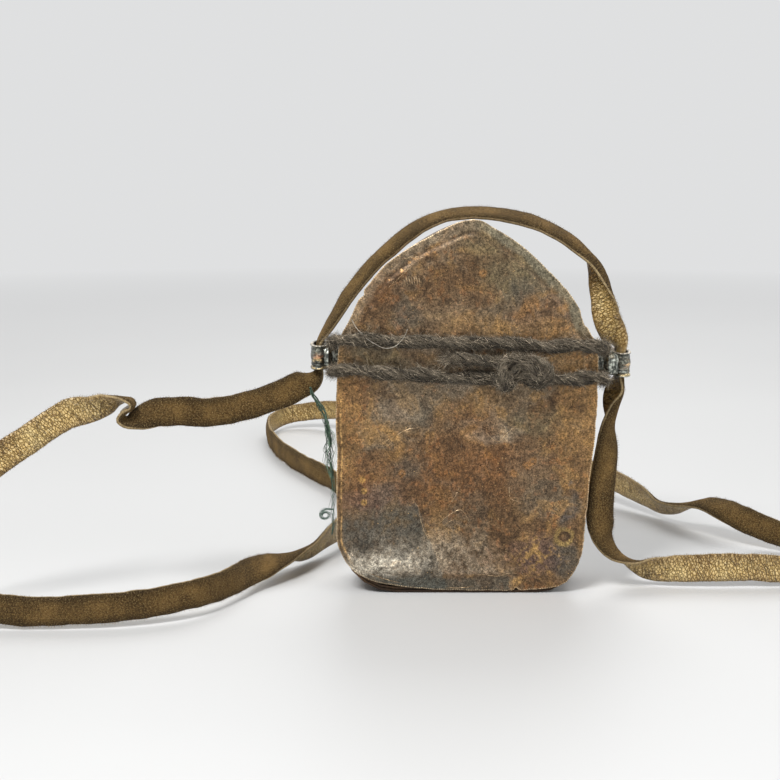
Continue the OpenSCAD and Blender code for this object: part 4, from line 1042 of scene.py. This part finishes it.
THREAD_MAT = thread_paint()
thread = strands("green_thread_strands", [
    (THREAD_ROUTE, 30, 0.75, 0.085, (0.022, 0.052, 0.029), (0.13, 0.21, 0.14)),
    (THREAD_SPREAD, 34, 1.6, 0.07, (0.022, 0.052, 0.029), (0.16, 0.26, 0.17)),
    (THREAD_WISPS, 12, 0.8, 0.05, (0.016, 0.045, 0.028), (0.10, 0.20, 0.14)),
    (THREAD_TAIL, 16, 0.6, 0.055, (0.03, 0.07, 0.045), (0.18, 0.28, 0.22)),
], THREAD_MAT, 61)
settle(thread, "case")
hair_bundle = (HAIR_ROUTE, 2, 0.25, 0.07, (0.55, 0.48, 0.38), (0.6, 0.55, 0.45))
hair = strands("stray_hair", [hair_bundle], THREAD_MAT, 63)
settle(hair, "cover")

# ------------------------------------------------------------------ front

HALF_W, FOOT_RIGHT, FOOT_LEFT, SPRING_Z = 48.0, 44.0, 48.5, 88.0
SHOULDER_R, SHOULDER_TURN, FLANK_R = 18.0, math.radians(18), 70.0
CORNER_RIGHT_R, CORNER_LEFT_R = 17.0, 22.0
CASE_INSET, FRONT_BAND, FRONT_TOP, FRONT_T = 2.0, 4.5, 14.2, 0.7
FIELD_RISE, PETAL_RISE, PETAL_COUNT, PETAL_L = 1.6, 1.47, 24, 6.5
WINDOW_HALF_W, WINDOW_Z, COLLAR_W, PEARL_D = 18.0, 64.0, 2.4, 2.6
TWIST_STEP, TWIST_L, TWIST_R, TWIST_WIRE_R, TWIST_UP = 0.22, 1.6, 0.27, 0.3, 1.75


def arc(centre, radius, start, end, count):
    a = np.linspace(start, end, count)
    return np.column_stack([centre[0] + radius * np.cos(a), centre[1] + radius * np.sin(a)])


def case_outline(inset, foot):
    """The case's closed outline in x and z, anticlockwise from the foot's right end."""
    halves = []
    for foot_half, corner_r in ((FOOT_RIGHT, CORNER_RIGHT_R), (FOOT_LEFT, CORNER_LEFT_R)):
        turn = corner_r - inset
        shoulder = np.array([HALF_W - SHOULDER_R, SPRING_Z])
        turned = np.array([math.cos(SHOULDER_TURN), math.sin(SHOULDER_TURN)])
        flank = shoulder - (FLANK_R - SHOULDER_R) * turned
        tip = math.acos(-flank[0] / (FLANK_R - inset))
        halves.append(np.vstack([
            arc((foot_half - corner_r, foot + turn), turn, -math.pi / 2, 0, 16),
            arc(shoulder, SHOULDER_R - inset, 0, SHOULDER_TURN, 10),
            arc(flank, FLANK_R - inset, SHOULDER_TURN, tip, 40)[1:],
        ]))
    return np.vstack([halves[0], (halves[1] * (-1, 1))[::-1][1:]])


def window_outline(inset):
    """The window's closed outline in x and z, anticlockwise from its sill's left end, by inset."""
    half, high = WINDOW_HALF_W - inset, 1.2 * WINDOW_HALF_W
    wide_r = 1.5 * WINDOW_HALF_W
    centre = half - wide_r + inset
    spring = high - math.sqrt(wide_r**2 - (0.5 * WINDOW_HALF_W) ** 2)
    right = arc((centre, spring), wide_r - inset, 0, math.acos(-centre / (wide_r - inset)), 60)
    low = inset - high
    sill = [(u * half, low) for u in (-1, -0.985, -0.5, 0, 0.5, 0.985, 1)]
    rise = [(half, low + u * (spring - low)) for u in (0.02, 0.25, 0.5, 0.75)]
    left = (np.array(rise)[::-1] * (-1, 1)).tolist()
    return np.vstack([sill, rise, right, (right * (-1, 1))[::-1][1:], left]) + (0, WINDOW_Z)


def dense(outline, step):
    """A closed outline with points about a step apart."""
    ring = np.vstack([outline, outline[:1]])
    s = run(ring)
    at = np.linspace(0, s[-1], int(s[-1] / step), endpoint=False)
    return np.column_stack([np.interp(at, s, ring[:, k]) for k in range(2)])


def rim_distance(outline, angles):
    """How far the outline is from the window's middle in each direction."""
    rel = dense(outline, 0.1) - (0, WINDOW_Z)
    a = np.arctan2(rel[:, 1], rel[:, 0])
    order = np.argsort(a)
    return np.interp(angles, a[order], np.hypot(rel[:, 0], rel[:, 1])[order], period=2 * math.pi)


def spiral(x, z, radius, start, turns, hand):
    u = np.linspace(0, 1, 90)
    a = math.radians(start) + hand * 2 * math.pi * turns * u
    r = radius * (1 - 0.86 * u)
    return np.column_stack([x + r * np.cos(a), z + r * np.sin(a)])


def mirrored(lines):
    return lines + [line * (-1, 1) for line in lines]


def scroll_lines():
    """The front's vine scrolls: stems up both sides, spirals in their bends, and flames over a jewel."""
    z = np.linspace(32, 96, 130)
    lines = [np.column_stack([34.6 + 3.6 * np.sin(2 * math.pi * (z - 36) / 22), z])]
    for k, cz in enumerate((41.5, 52.5, 63.5, 74.5, 85.5)):
        hand = 1 if k % 2 == 0 else -1
        lines.append(spiral(34.6 - hand * 1.4, cz, 3.4, hand * 90, 1.6, hand))
    lines += [spiral(9.5, 20.5, 6.0, -90, 1.7, 1), spiral(23.5, 19.5, 6.2, 100, 1.7, -1),
              spiral(34.5, 24, 4.4, -100, 1.5, 1)]
    lines += [spiral(27, 101, 5.2, -60, 1.6, 1), spiral(18, 110.5, 4.4, 200, 1.5, -1)]
    flat = lambda places: smooth_line([(x, 0, z) for x, z in places], 0.4)[:, [0, 2]]
    lines.append(flat([(2, 13), (9.5, 13.6), (16.5, 17), (18, 24), (23.5, 26.5), (29, 21), (34, 18.6),
                       (38, 23), (34.5, 32)]))
    lines.append(flat([(30, 95), (32, 100), (29, 107), (23, 112), (17, 116.5), (11, 120), (5.5, 124.5),
                       (0, 128.5)]))
    lines.append(flat([(11.5, 98.5), (13.2, 103), (10.5, 107), (10.6, 110.5), (6.8, 113.4), (4.6, 117.4),
                       (0, 121.5)]))
    return np.vstack(mirrored(lines))


def domes():
    """Raised drops of the field: a threefold jewel at the top, and an open lotus at the foot."""
    places = [(0, 107.5, 4.2, 5.0, 0), (7.2, 100.8, 3.0, 3.6, 0), (-7.2, 100.8, 3.0, 3.6, 0)]
    for k in range(-3, 4):
        a = math.radians(27 * k)
        places.append((8.4 * math.sin(a), 11.5 + 8.6 * math.cos(a) * 0.8, 1.9, 4.6, -a))
    return places


def front_relief(x, z, d_out, d_win, petal):
    """The front's height, by place, distances to its edge and its window, and place along the petals."""
    base = FIELD_RISE * np.minimum(ramp(d_out - FRONT_BAND, 0, 1.5), ramp(d_win - COLLAR_W, -0.1, 0.5))
    t = (d_win - COLLAR_W - 0.2) / PETAL_L
    lift = np.zeros(len(x))
    for shift, size, high in ((0.5, 1.12, 0.6), (0.0, 1.0, 1.0)):
        f = np.abs((petal + shift) % 1 - 0.5)
        side = 0.5 * (1 - np.clip(t / size, 0, 1) ** 2.6) ** 0.75
        e = np.where((t > 0) & (t < size), 1 - f / np.maximum(side, 1e-3), 0)
        shape = high * (ramp(e, 0, 0.4) * (0.72 + 0.2 * e) - 0.26 * bell(e - 0.32, 0.07) * (e > 0.05))
        shape += high * 0.16 * bell(f, 0.035) * ramp(e, 0.4, 0.8) * (1 - ramp(t, 0.5, 0.8))
        lift = np.maximum(lift, shape * ramp(t, 0, 0.08))
    field = ramp(d_win - COLLAR_W - PETAL_L, 0.6, 1.6) * ramp(d_out - FRONT_BAND, 1.8, 2.6)
    raised = 0.85 * bell(inset(np.column_stack([x, z]), scroll_lines()[::2]), 0.62)
    for cx, cz, rx, rz, turn in domes():
        u, v = x - cx, z - cz
        u, v = u * math.cos(turn) - v * math.sin(turn), u * math.sin(turn) + v * math.cos(turn)
        k = np.clip(1 - (u / (rx * (1 - 0.35 * np.clip(v / rz, -1, 1)))) ** 2 - (v / rz) ** 2, 0, 1)
        raised = np.maximum(raised, 1.15 * np.sqrt(k) * ramp(k, 0, 0.15))
    dents = 0.12 * noise2(x, z, 17, 61, 2) + 0.03 * noise2(x, z, 3, 62, 2)
    return base + PETAL_RISE * lift + raised * field + dents * ramp(d_win, 3, 6) * ramp(d_out, 5, 8)


def silver(name, dark, light, tinted):
    """Worked silver, with tarnish in its hollows where the tint gives them, and a rubbed shine."""
    p = Paint(name, Metallic=0.95)
    grit, cloud, fine = p.noise(1300, 4, 0.7), p.noise(140, 4, 0.6), p.noise(3000, 3)
    colour = p.ramp(p.plus(p.times(cloud, 0.6), p.times(grit, 0.4)), (0.36, dark), (0.6, light))
    if tinted:
        colour = p.mix(colour, p.tint(), 1.0, "MULTIPLY")
    colour = p.mix(colour, (0.10, 0.085, 0.065), p.times(p.ramp(grit, (0.3, 0.8), (0.4, 0.0)), 0.7))
    height = p.plus(grit, p.times(fine, 0.4))
    return p.done(Base_Color=colour, Roughness=p.ramp(cloud, (0.35, 0.24), (0.65, 0.46)),
                  Normal=p.bump(height, 0.00005))


WORKED_SILVER = silver("worked_silver", (0.50, 0.47, 0.42), (0.80, 0.78, 0.73), True)
PLAIN_SILVER = silver("plain_silver", (0.34, 0.32, 0.28), (0.74, 0.72, 0.67), False)


def make_front():
    """The front as rings from the window to its edge, and back under it by the metal's thickness."""
    cols, rows = 1200, 118
    angles = np.linspace(-math.pi, math.pi, cols, endpoint=False)
    near, far = rim_distance(window_outline(0), angles), rim_distance(case_outline(CASE_INSET, 0), angles)
    way = np.column_stack([np.cos(angles), np.sin(angles)])
    edge, hole = dense(case_outline(CASE_INSET, 0), 0.4), dense(window_outline(0), 0.3)
    rim = near[:, None] * way
    round_rim = run(np.vstack([rim, rim[:1]]))
    petal = round_rim[:-1] / round_rim[-1] * PETAL_COUNT + 0.5

    def ring_points(shares):
        r = near[None] * (1 - shares[:, None]) + far[None] * shares[:, None]
        flat = (r[..., None] * way[None]).reshape(-1, 2) + (0, WINDOW_Z)
        return flat[:, 0], flat[:, 1], inset(flat, edge), inset(flat, hole)

    shares = np.linspace(0, 1, rows)
    x, z, d_out, d_win = ring_points(shares)
    height = front_relief(x, z, d_out, d_win, np.tile(petal, rows))
    grid = height.reshape(rows, cols)
    shifts = [(a, b) for a in (-4, -2, 0, 2, 4) for b in (-4, -2, 0, 2, 4)]
    soft = sum(np.roll(grid, shift, (0, 1)) for shift in shifts) / len(shifts)
    hollow = ramp((soft - grid).ravel(), -0.01, 0.16)
    tint = over(np.tile((1.0, 0.99, 0.96), (len(x), 1)), (0.06, 0.05, 0.04), 0.95 * hollow)
    punched = ramp(d_win, 9.5, 11) * ramp(d_out, 6, 7) * (grid.ravel() < FIELD_RISE + 0.25)
    tint = over(tint, (0.16, 0.14, 0.11),
                0.75 * punched * (0.7 + 0.4 * noise2(x, z, 1.1, 63, 2)).clip(0, 1))
    tint = over(tint, (0.72, 0.52, 0.33), 0.5 * ramp(noise2(x, z, 20, 64), 0.45, 0.9))
    bx, bz, b_out, b_win = ring_points(shares[::-1][::4])
    lower = FIELD_RISE * np.minimum(ramp(b_out - FRONT_BAND, 0.4, 2.1), ramp(b_win - COLLAR_W, 0.4, 1.3))
    verts = np.vstack([np.column_stack([x, FRONT_TOP + height, z]),
                       np.column_stack([bx, FRONT_TOP - FRONT_T + lower, bz])])
    total = rows + len(bx) // cols
    faces = np.vstack([grid_quads(total, cols, True), band(cols, (total - 1) * cols, 0)])
    tint = np.vstack([tint, np.tile((0.5, 0.42, 0.3), (len(bx), 1))])
    obj = make("front_repousse", verts, faces, [WORKED_SILVER], colors=tint)
    settle(obj, "case", "front_panel")


def make_pearls():
    """A row of beaten pearls soldered between two thin wires round the front."""
    line = dense(case_outline(CASE_INSET + FRONT_BAND / 2, FRONT_BAND / 2), PEARL_D * 1.12)
    sides, levels = 16, 10
    u, v = np.meshgrid(round_angles(sides), np.linspace(0.02, math.pi - 0.02, levels))
    ball = np.stack([np.cos(u) * np.sin(v), np.sin(u) * np.sin(v), np.cos(v)], -1).reshape(-1, 3)
    caps = [list(range(sides))[::-1], list(range((levels - 1) * sides, levels * sides))]
    quads = grid_quads(levels, sides, True).tolist() + caps
    r = np.random.default_rng(65)
    parts = []
    for x, z in line:
        size = PEARL_D / 2 * r.uniform(0.93, 1.02, 3)
        parts.append((ball * size + (x, FRONT_TOP + PEARL_D / 2 - 0.1, z), quads))
    for side in (-1, 1):
        away = FRONT_BAND / 2 + 1.65 * side
        wire = dense(case_outline(CASE_INSET + away, away), 0.8)
        wire = np.column_stack([wire[:, 0], np.full(len(wire), FRONT_TOP + 0.3), wire[:, 1]])
        thick = 0.32 * (1 + 0.12 * np.sin(np.arange(len(wire) + 2) * 1.9))
        parts.append(tube(np.vstack([wire, wire[:2]]), thick, 8, (0, 1, 0)))
    settle(make("border_pearls", *joined(parts), [PLAIN_SILVER]), "case", "border_wire")


def make_collar():
    """The collar round the window: a wall with a rolled lip that holds the glass."""
    profile = [(2.1, 0), (2.1, 2.6), (2.35, 2.9), (2.35, 3.2), (2.1, 3.5), (1.6, 3.95), (0.9, 4.2),
               (0, 4.2), (-0.8, 4.05), (-1.35, 3.75), (-1.5, 3.45), (-1.45, 3.2), (-0.4, 3.2), (-0.4, 0)]
    rings = [np.insert(window_outline(-out), 1, FRONT_TOP + up, axis=1) for out, up in profile]
    count = len(rings[0])
    faces = grid_quads(len(rings), count, True)[:, ::-1]
    faces = np.vstack([faces, band(count, 0, (len(rings) - 1) * count)])
    parts = [(np.vstack(rings), faces)]
    foot = dense(window_outline(-2.75), TWIST_STEP)
    way = edge_way(foot)
    out = np.column_stack([way[:, 1], -way[:, 0]])
    turn = 2 * math.pi * np.round(len(foot) * TWIST_STEP / TWIST_L) * np.arange(len(foot)) / len(foot)
    for phase in (0, math.pi):
        flat = foot + out * (TWIST_R * np.cos(turn + phase))[:, None]
        high = FRONT_TOP + TWIST_UP + TWIST_R * np.sin(turn + phase)
        wire = np.column_stack([flat[:, 0], high, flat[:, 1]])
        parts.append(tube(np.vstack([wire, wire[:2]]), TWIST_WIRE_R, 7, (0, 1, 0)))
    settle(make("window_collar", *joined(parts), [PLAIN_SILVER]), "case", "window_frame")


make_front()
make_pearls()
make_collar()

# ------------------------------------------------------------------ contents

BASE_REST, SILK_W, SILK_H, SILK_STEP, SILK_HEM = 0.9, 50.0, 68.0, 0.5, 0.3
ROLL_D, ROLL_L, ROLL_Y, ROLL_PITCH, ROLL_TURNS, ROLL_HOLLOW = 9.0, 56.0, -3.0, 12.0, 9, 1.3


def soft_paint(name, dark, light, weave):
    p = Paint(name, Roughness=0.7, Specular_IOR_Level=0.3, Sheen_Weight=0.4, Sheen_Roughness=0.35)
    at = p.place()
    threads = p.add("TexWave", Vector=at, Scale=weave, Distortion=1.5, Detail=2.0)
    cloud = p.noise(180, 4, 0.6, at)
    colour = p.shade(p.ramp(cloud, (0.35, dark), (0.65, light)), 1.0, threads, (0.2, 0.7), (0.8, 1.1))
    return p.done(Base_Color=colour, Normal=p.bump(threads, 0.0001))


def doubled(sides):
    """A thin sheet from the rows of points of its two sides, closed round its edges."""
    ring = np.concatenate([sides[0], sides[1][:, ::-1]], 1)
    rows, n = ring.shape[:2]
    k = np.arange(n // 2 - 1)
    m = n - 1 - k
    faces = grid_quads(rows, n, True).tolist()
    faces += np.column_stack([k + 1, k, m, m - 1]).tolist()
    faces += (np.column_stack([k, k + 1, m - 1, m]) + (rows - 1) * n).tolist()
    return ring.reshape(-1, 3), faces


def make_silk():
    """Red silk folded in three: one sheet that turns back twice at its sides."""
    half = SILK_W / 2 - 0.5
    path = [(-half, 2.15), (half - 0.5, 2.15), (half, 2.35), (half, 2.6), (half - 0.5, 2.8),
            (0.5 - half, 2.8), (-half, 3.0), (-half, 3.25), (0.5 - half, 3.45), (half, 3.45)]
    flat = smooth_line([(x, y, 0) for x, y in path], SILK_STEP)[:, :2]
    way = tangents(flat)
    out = np.column_stack([-way[:, 1], way[:, 0]])
    s = np.arange(len(flat)) * SILK_STEP
    levels = np.linspace(0, SILK_H, 100)
    sheets = []
    for side in (0.13, -0.13):
        ripple = 0.06 * noise2(s[None], levels[:, None], 8, 66, 2)
        place = flat[None] + out[None] * (side + ripple)[..., None]
        frill = 0.25 * ramp(levels, SILK_H - 2, SILK_H)[:, None] * wave(s / 9, 67)[None]
        z = BASE_REST + levels[:, None] + frill
        z[-1] -= SILK_HEM
        sheets.append(np.concatenate([place, z[..., None] + 0 * place[..., :1]], -1))
    silk = soft_paint("red_silk", (0.22, 0.012, 0.010), (0.42, 0.035, 0.024), 900.0)
    obj = settle(make("silk_folded", *doubled(sheets), [silk]), "case", "silk_pad")


def make_roll(node, x, seed):
    """A strip of paper rolled up in nine loose turns, its edges a little out of line."""
    a = np.linspace(0, 2 * math.pi * ROLL_TURNS, 40 * ROLL_TURNS)
    r = ROLL_HOLLOW + (ROLL_D / 2 - 0.12 - ROLL_HOLLOW) * a / a[-1]
    levels = np.linspace(0, 1, 9)
    slip = 0.35 * wave(a / 5, seed)
    sheets = []
    for thin in (0.07, -0.07):
        flat = np.column_stack([x + (r + thin) * np.cos(a + seed), ROLL_Y + (r + thin) * np.sin(a + seed)])
        z = BASE_REST + 0.4 + levels[:, None] * (ROLL_L - 1.2) + 0.35 + slip[None]
        sheets.append(np.concatenate([np.repeat(flat[None], len(levels), 0), z[..., None]], -1))
    settle(make(node + "_paper", *doubled(sheets), [PAPER]), "case", node)


def make_roll_threads():
    """Five turns of red thread round the middle of each roll."""
    parts = []
    for k in (-1, 0, 1):
        a = np.linspace(0, 2 * math.pi * 5, 240)
        r = ROLL_D / 2 + 0.08 + 0.03 * wave(a, 70 + k)
        z = BASE_REST + ROLL_L / 2 + (a / a[-1] - 0.5) * 2.4 + 0.1 * wave(a / 3, 73 + k)
        line = np.column_stack([k * ROLL_PITCH + r * np.cos(a), ROLL_Y + r * np.sin(a), z])
        parts.append(tube(line, 0.17, 6))
    red = fibre_paint("red_thread", (0.25, 0.012, 0.01), (0.45, 0.04, 0.03))
    settle(make("roll_thread_turns", *joined(parts), [red]), "case", "roll_threads")


PAPER = soft_paint("rolled_paper", (0.42, 0.33, 0.20), (0.62, 0.52, 0.36), 300.0)
make_silk()
for name, k in (("prayer_roll_left", -1), ("prayer_roll_middle", 0), ("prayer_roll_right", 1)):
    make_roll(name, k * ROLL_PITCH, 76 + k)
make_roll_threads()

# ------------------------------------------------------------------ materials of the solids that stay


def case_copper():
    """The wall's beaten copper: brown patina, with painted shade that darkens it towards the foot, rubbed
    bright in patches.
    """
    p = Paint("case_copper", Metallic=0.75)
    at = p.place()
    cloud, grit, fine = p.noise(75, 5, 0.62, at), p.noise(900, 5, 0.75, at), p.noise(2400, 3, 0.6, at)
    beaten = p.add("TexVoronoi", {"feature": "SMOOTH_F1"}, Vector=at, Scale=170.0)
    colour = p.ramp(cloud, (0.3, (0.065, 0.036, 0.019)), (0.48, (0.15, 0.086, 0.042)),
                    (0.6, (0.24, 0.13, 0.055)), (0.74, (0.20, 0.175, 0.12)))
    colour = p.shade(colour, 0.8, grit, (0.36, 0.35), (0.5, 0.95), (0.64, 1.8))
    # Painted shade: nearly black towards the foot, under the plate
    foot = p.ramp(p.times(p.add("SeparateXYZ", out=2, Vector=at), 60.0), (0.06, 1.0), (0.6, 0.0))
    colour = p.mix(colour, (0.018, 0.013, 0.010), p.times(foot, 0.85))
    height = p.plus(p.times(beaten, 2.5), p.plus(grit, p.times(fine, 0.4)))
    return p.done(Base_Color=colour, Roughness=p.ramp(grit, (0.35, 0.32), (0.65, 0.55)),
                  Normal=p.bump(height, 0.00012))


def window_glass():
    """Old greenish glass with a little dust."""
    p = Paint("old_glass", Transmission_Weight=1.0, IOR=1.5, Alpha=0.3)
    dust = p.noise(220, 5, 0.7)
    colour = p.ramp(dust, (0.4, (0.86, 0.92, 0.88)), (0.7, (0.72, 0.78, 0.72)))
    return p.done(Base_Color=colour, Roughness=p.ramp(dust, (0.5, 0.02), (0.8, 0.12)),
                  Normal=p.bump(p.noise(60, 2), 0.0002))


def moulded_clay():
    """Baked clay, mottled lighter and darker, with traces of red paint and dust."""
    p = Paint("moulded_clay", Roughness=0.85, Specular_IOR_Level=0.2)
    cloud, grit = p.noise(120, 5, 0.65), p.noise(1400, 5, 0.75)
    colour = p.ramp(cloud, (0.32, (0.20, 0.115, 0.07)), (0.5, (0.33, 0.20, 0.125)),
                    (0.7, (0.45, 0.31, 0.20)))
    colour = p.mix(colour, (0.34, 0.05, 0.03), p.ramp(p.noise(60, 3), (0.55, 0.0), (0.66, 0.55)))
    colour = p.shade(colour, 0.8, grit, (0.36, 0.5), (0.6, 1.3))
    return p.done(Base_Color=colour, Normal=p.bump(grit, 0.0003))


def dress(material, *names):
    for name in names:
        for part in nodes[name].material_slots:
            part.material = material


dress(case_copper(), "side_wall", "cover_flange", "lug_seat_left", "lug_seat_right")
dress(window_glass(), "window_pane")
dress(PLAIN_SILVER, "window_tabs")
dress(moulded_clay(), "clay_tablet")

# ------------------------------------------------------------------ floor, light


PALE, SKY, SKY_LEVEL = (0.74, 0.745, 0.75), (0.93, 0.94, 0.95), 0.4
FLOOR_R, FLOOR_DROP, FLOOR_SIDES = 4000.0, 0.3, 96
# Each lamp's place and aim in metres, its power and its size
LAMPS = (
    ("key", (-0.4, -0.62, 0.98), (0, 0, 0.06), 12.5, 0.34),
    ("fill", (0.9, -0.5, 0.5), (0, 0, 0.06), 3.5, 0.7),
    ("back", (0.1, 0.8, 0.9), (0, 0, 0.08), 6.0, 0.7),
)


def pale_to_camera(tree, shader, share=None):
    """A shader that shows the pale background to camera, mirror and glass rays, by a share if given."""
    path = tree.nodes.new("ShaderNodeLightPath")
    ray = path.outputs["Is Camera Ray"]
    for name in ("Is Glossy Ray", "Is Transmission Ray"):
        both = tree.nodes.new("ShaderNodeMath")
        both.operation = "MAXIMUM"
        tree.links.new(ray, both.inputs[0])
        tree.links.new(path.outputs[name], both.inputs[1])
        ray = both.outputs[0]
    if share is not None:
        part = tree.nodes.new("ShaderNodeMath")
        part.operation = "MULTIPLY"
        tree.links.new(ray, part.inputs[0])
        tree.links.new(share, part.inputs[1])
        ray = part.outputs[0]
    glow = tree.nodes.new("ShaderNodeEmission" if share is not None else "ShaderNodeBackground")
    glow.inputs["Color"].default_value = (*PALE, 1)
    glow.inputs["Strength"].default_value = 1.0
    mix = tree.nodes.new("ShaderNodeMixShader")
    tree.links.new(ray, mix.inputs[0])
    tree.links.new(shader, mix.inputs[1])
    tree.links.new(glow.outputs[0], mix.inputs[2])
    return mix.outputs[0]


def floor_paint():
    """A pale matt floor that turns into the background far from the box."""
    p = Paint("floor", Roughness=0.5, Specular_IOR_Level=0.35)
    p.done(Base_Color=p.ramp(p.noise(3, 2), (0.3, (0.60, 0.60, 0.595)), (0.7, (0.63, 0.63, 0.625))))
    away = p.add("VectorMath", {"operation": "LENGTH"}, out=1, Vector=p.place())
    far = p.ramp(p.times(away, 0.5), (0.22, 0.0), (0.7, 1.0))
    out = p.tree.nodes["Material Output"]
    p.tree.links.new(pale_to_camera(p.tree, p.bsdf.outputs[0], far), out.inputs["Surface"])
    return p.mat


def make_stage():
    """A pale floor that fades into a pale world, a soft key, a fill and a back lamp."""
    a = round_angles(FLOOR_SIDES)
    rim = np.column_stack([FLOOR_R * np.cos(a), FLOOR_R * np.sin(a), np.full(FLOOR_SIDES, -FLOOR_DROP)])
    floor = make("floor", rim, [list(range(FLOOR_SIDES))], [floor_paint()])
    world = bpy.data.worlds.new("studio")
    bpy.context.scene.world = world
    world.use_nodes = True
    tree = world.node_tree
    sky = tree.nodes["Background"]
    sky.inputs[0].default_value = (*SKY, 1)
    sky.inputs[1].default_value = SKY_LEVEL
    tree.links.new(pale_to_camera(tree, sky.outputs[0]), tree.nodes["World Output"].inputs["Surface"])
    for name, place, aim, power, size in LAMPS:
        data = bpy.data.lights.new(name, "AREA")
        data.energy, data.size = power, size
        lamp = bpy.data.objects.new(name, data)
        d = np.array(aim) - np.array(place)
        lamp.location = place
        lamp.rotation_euler = (math.atan2(math.hypot(d[0], d[1]), -d[2]), 0, math.atan2(-d[0], d[1]))
        bpy.context.scene.collection.objects.link(lamp)


make_stage()
bpy.context.scene.view_settings.view_transform = "Standard"
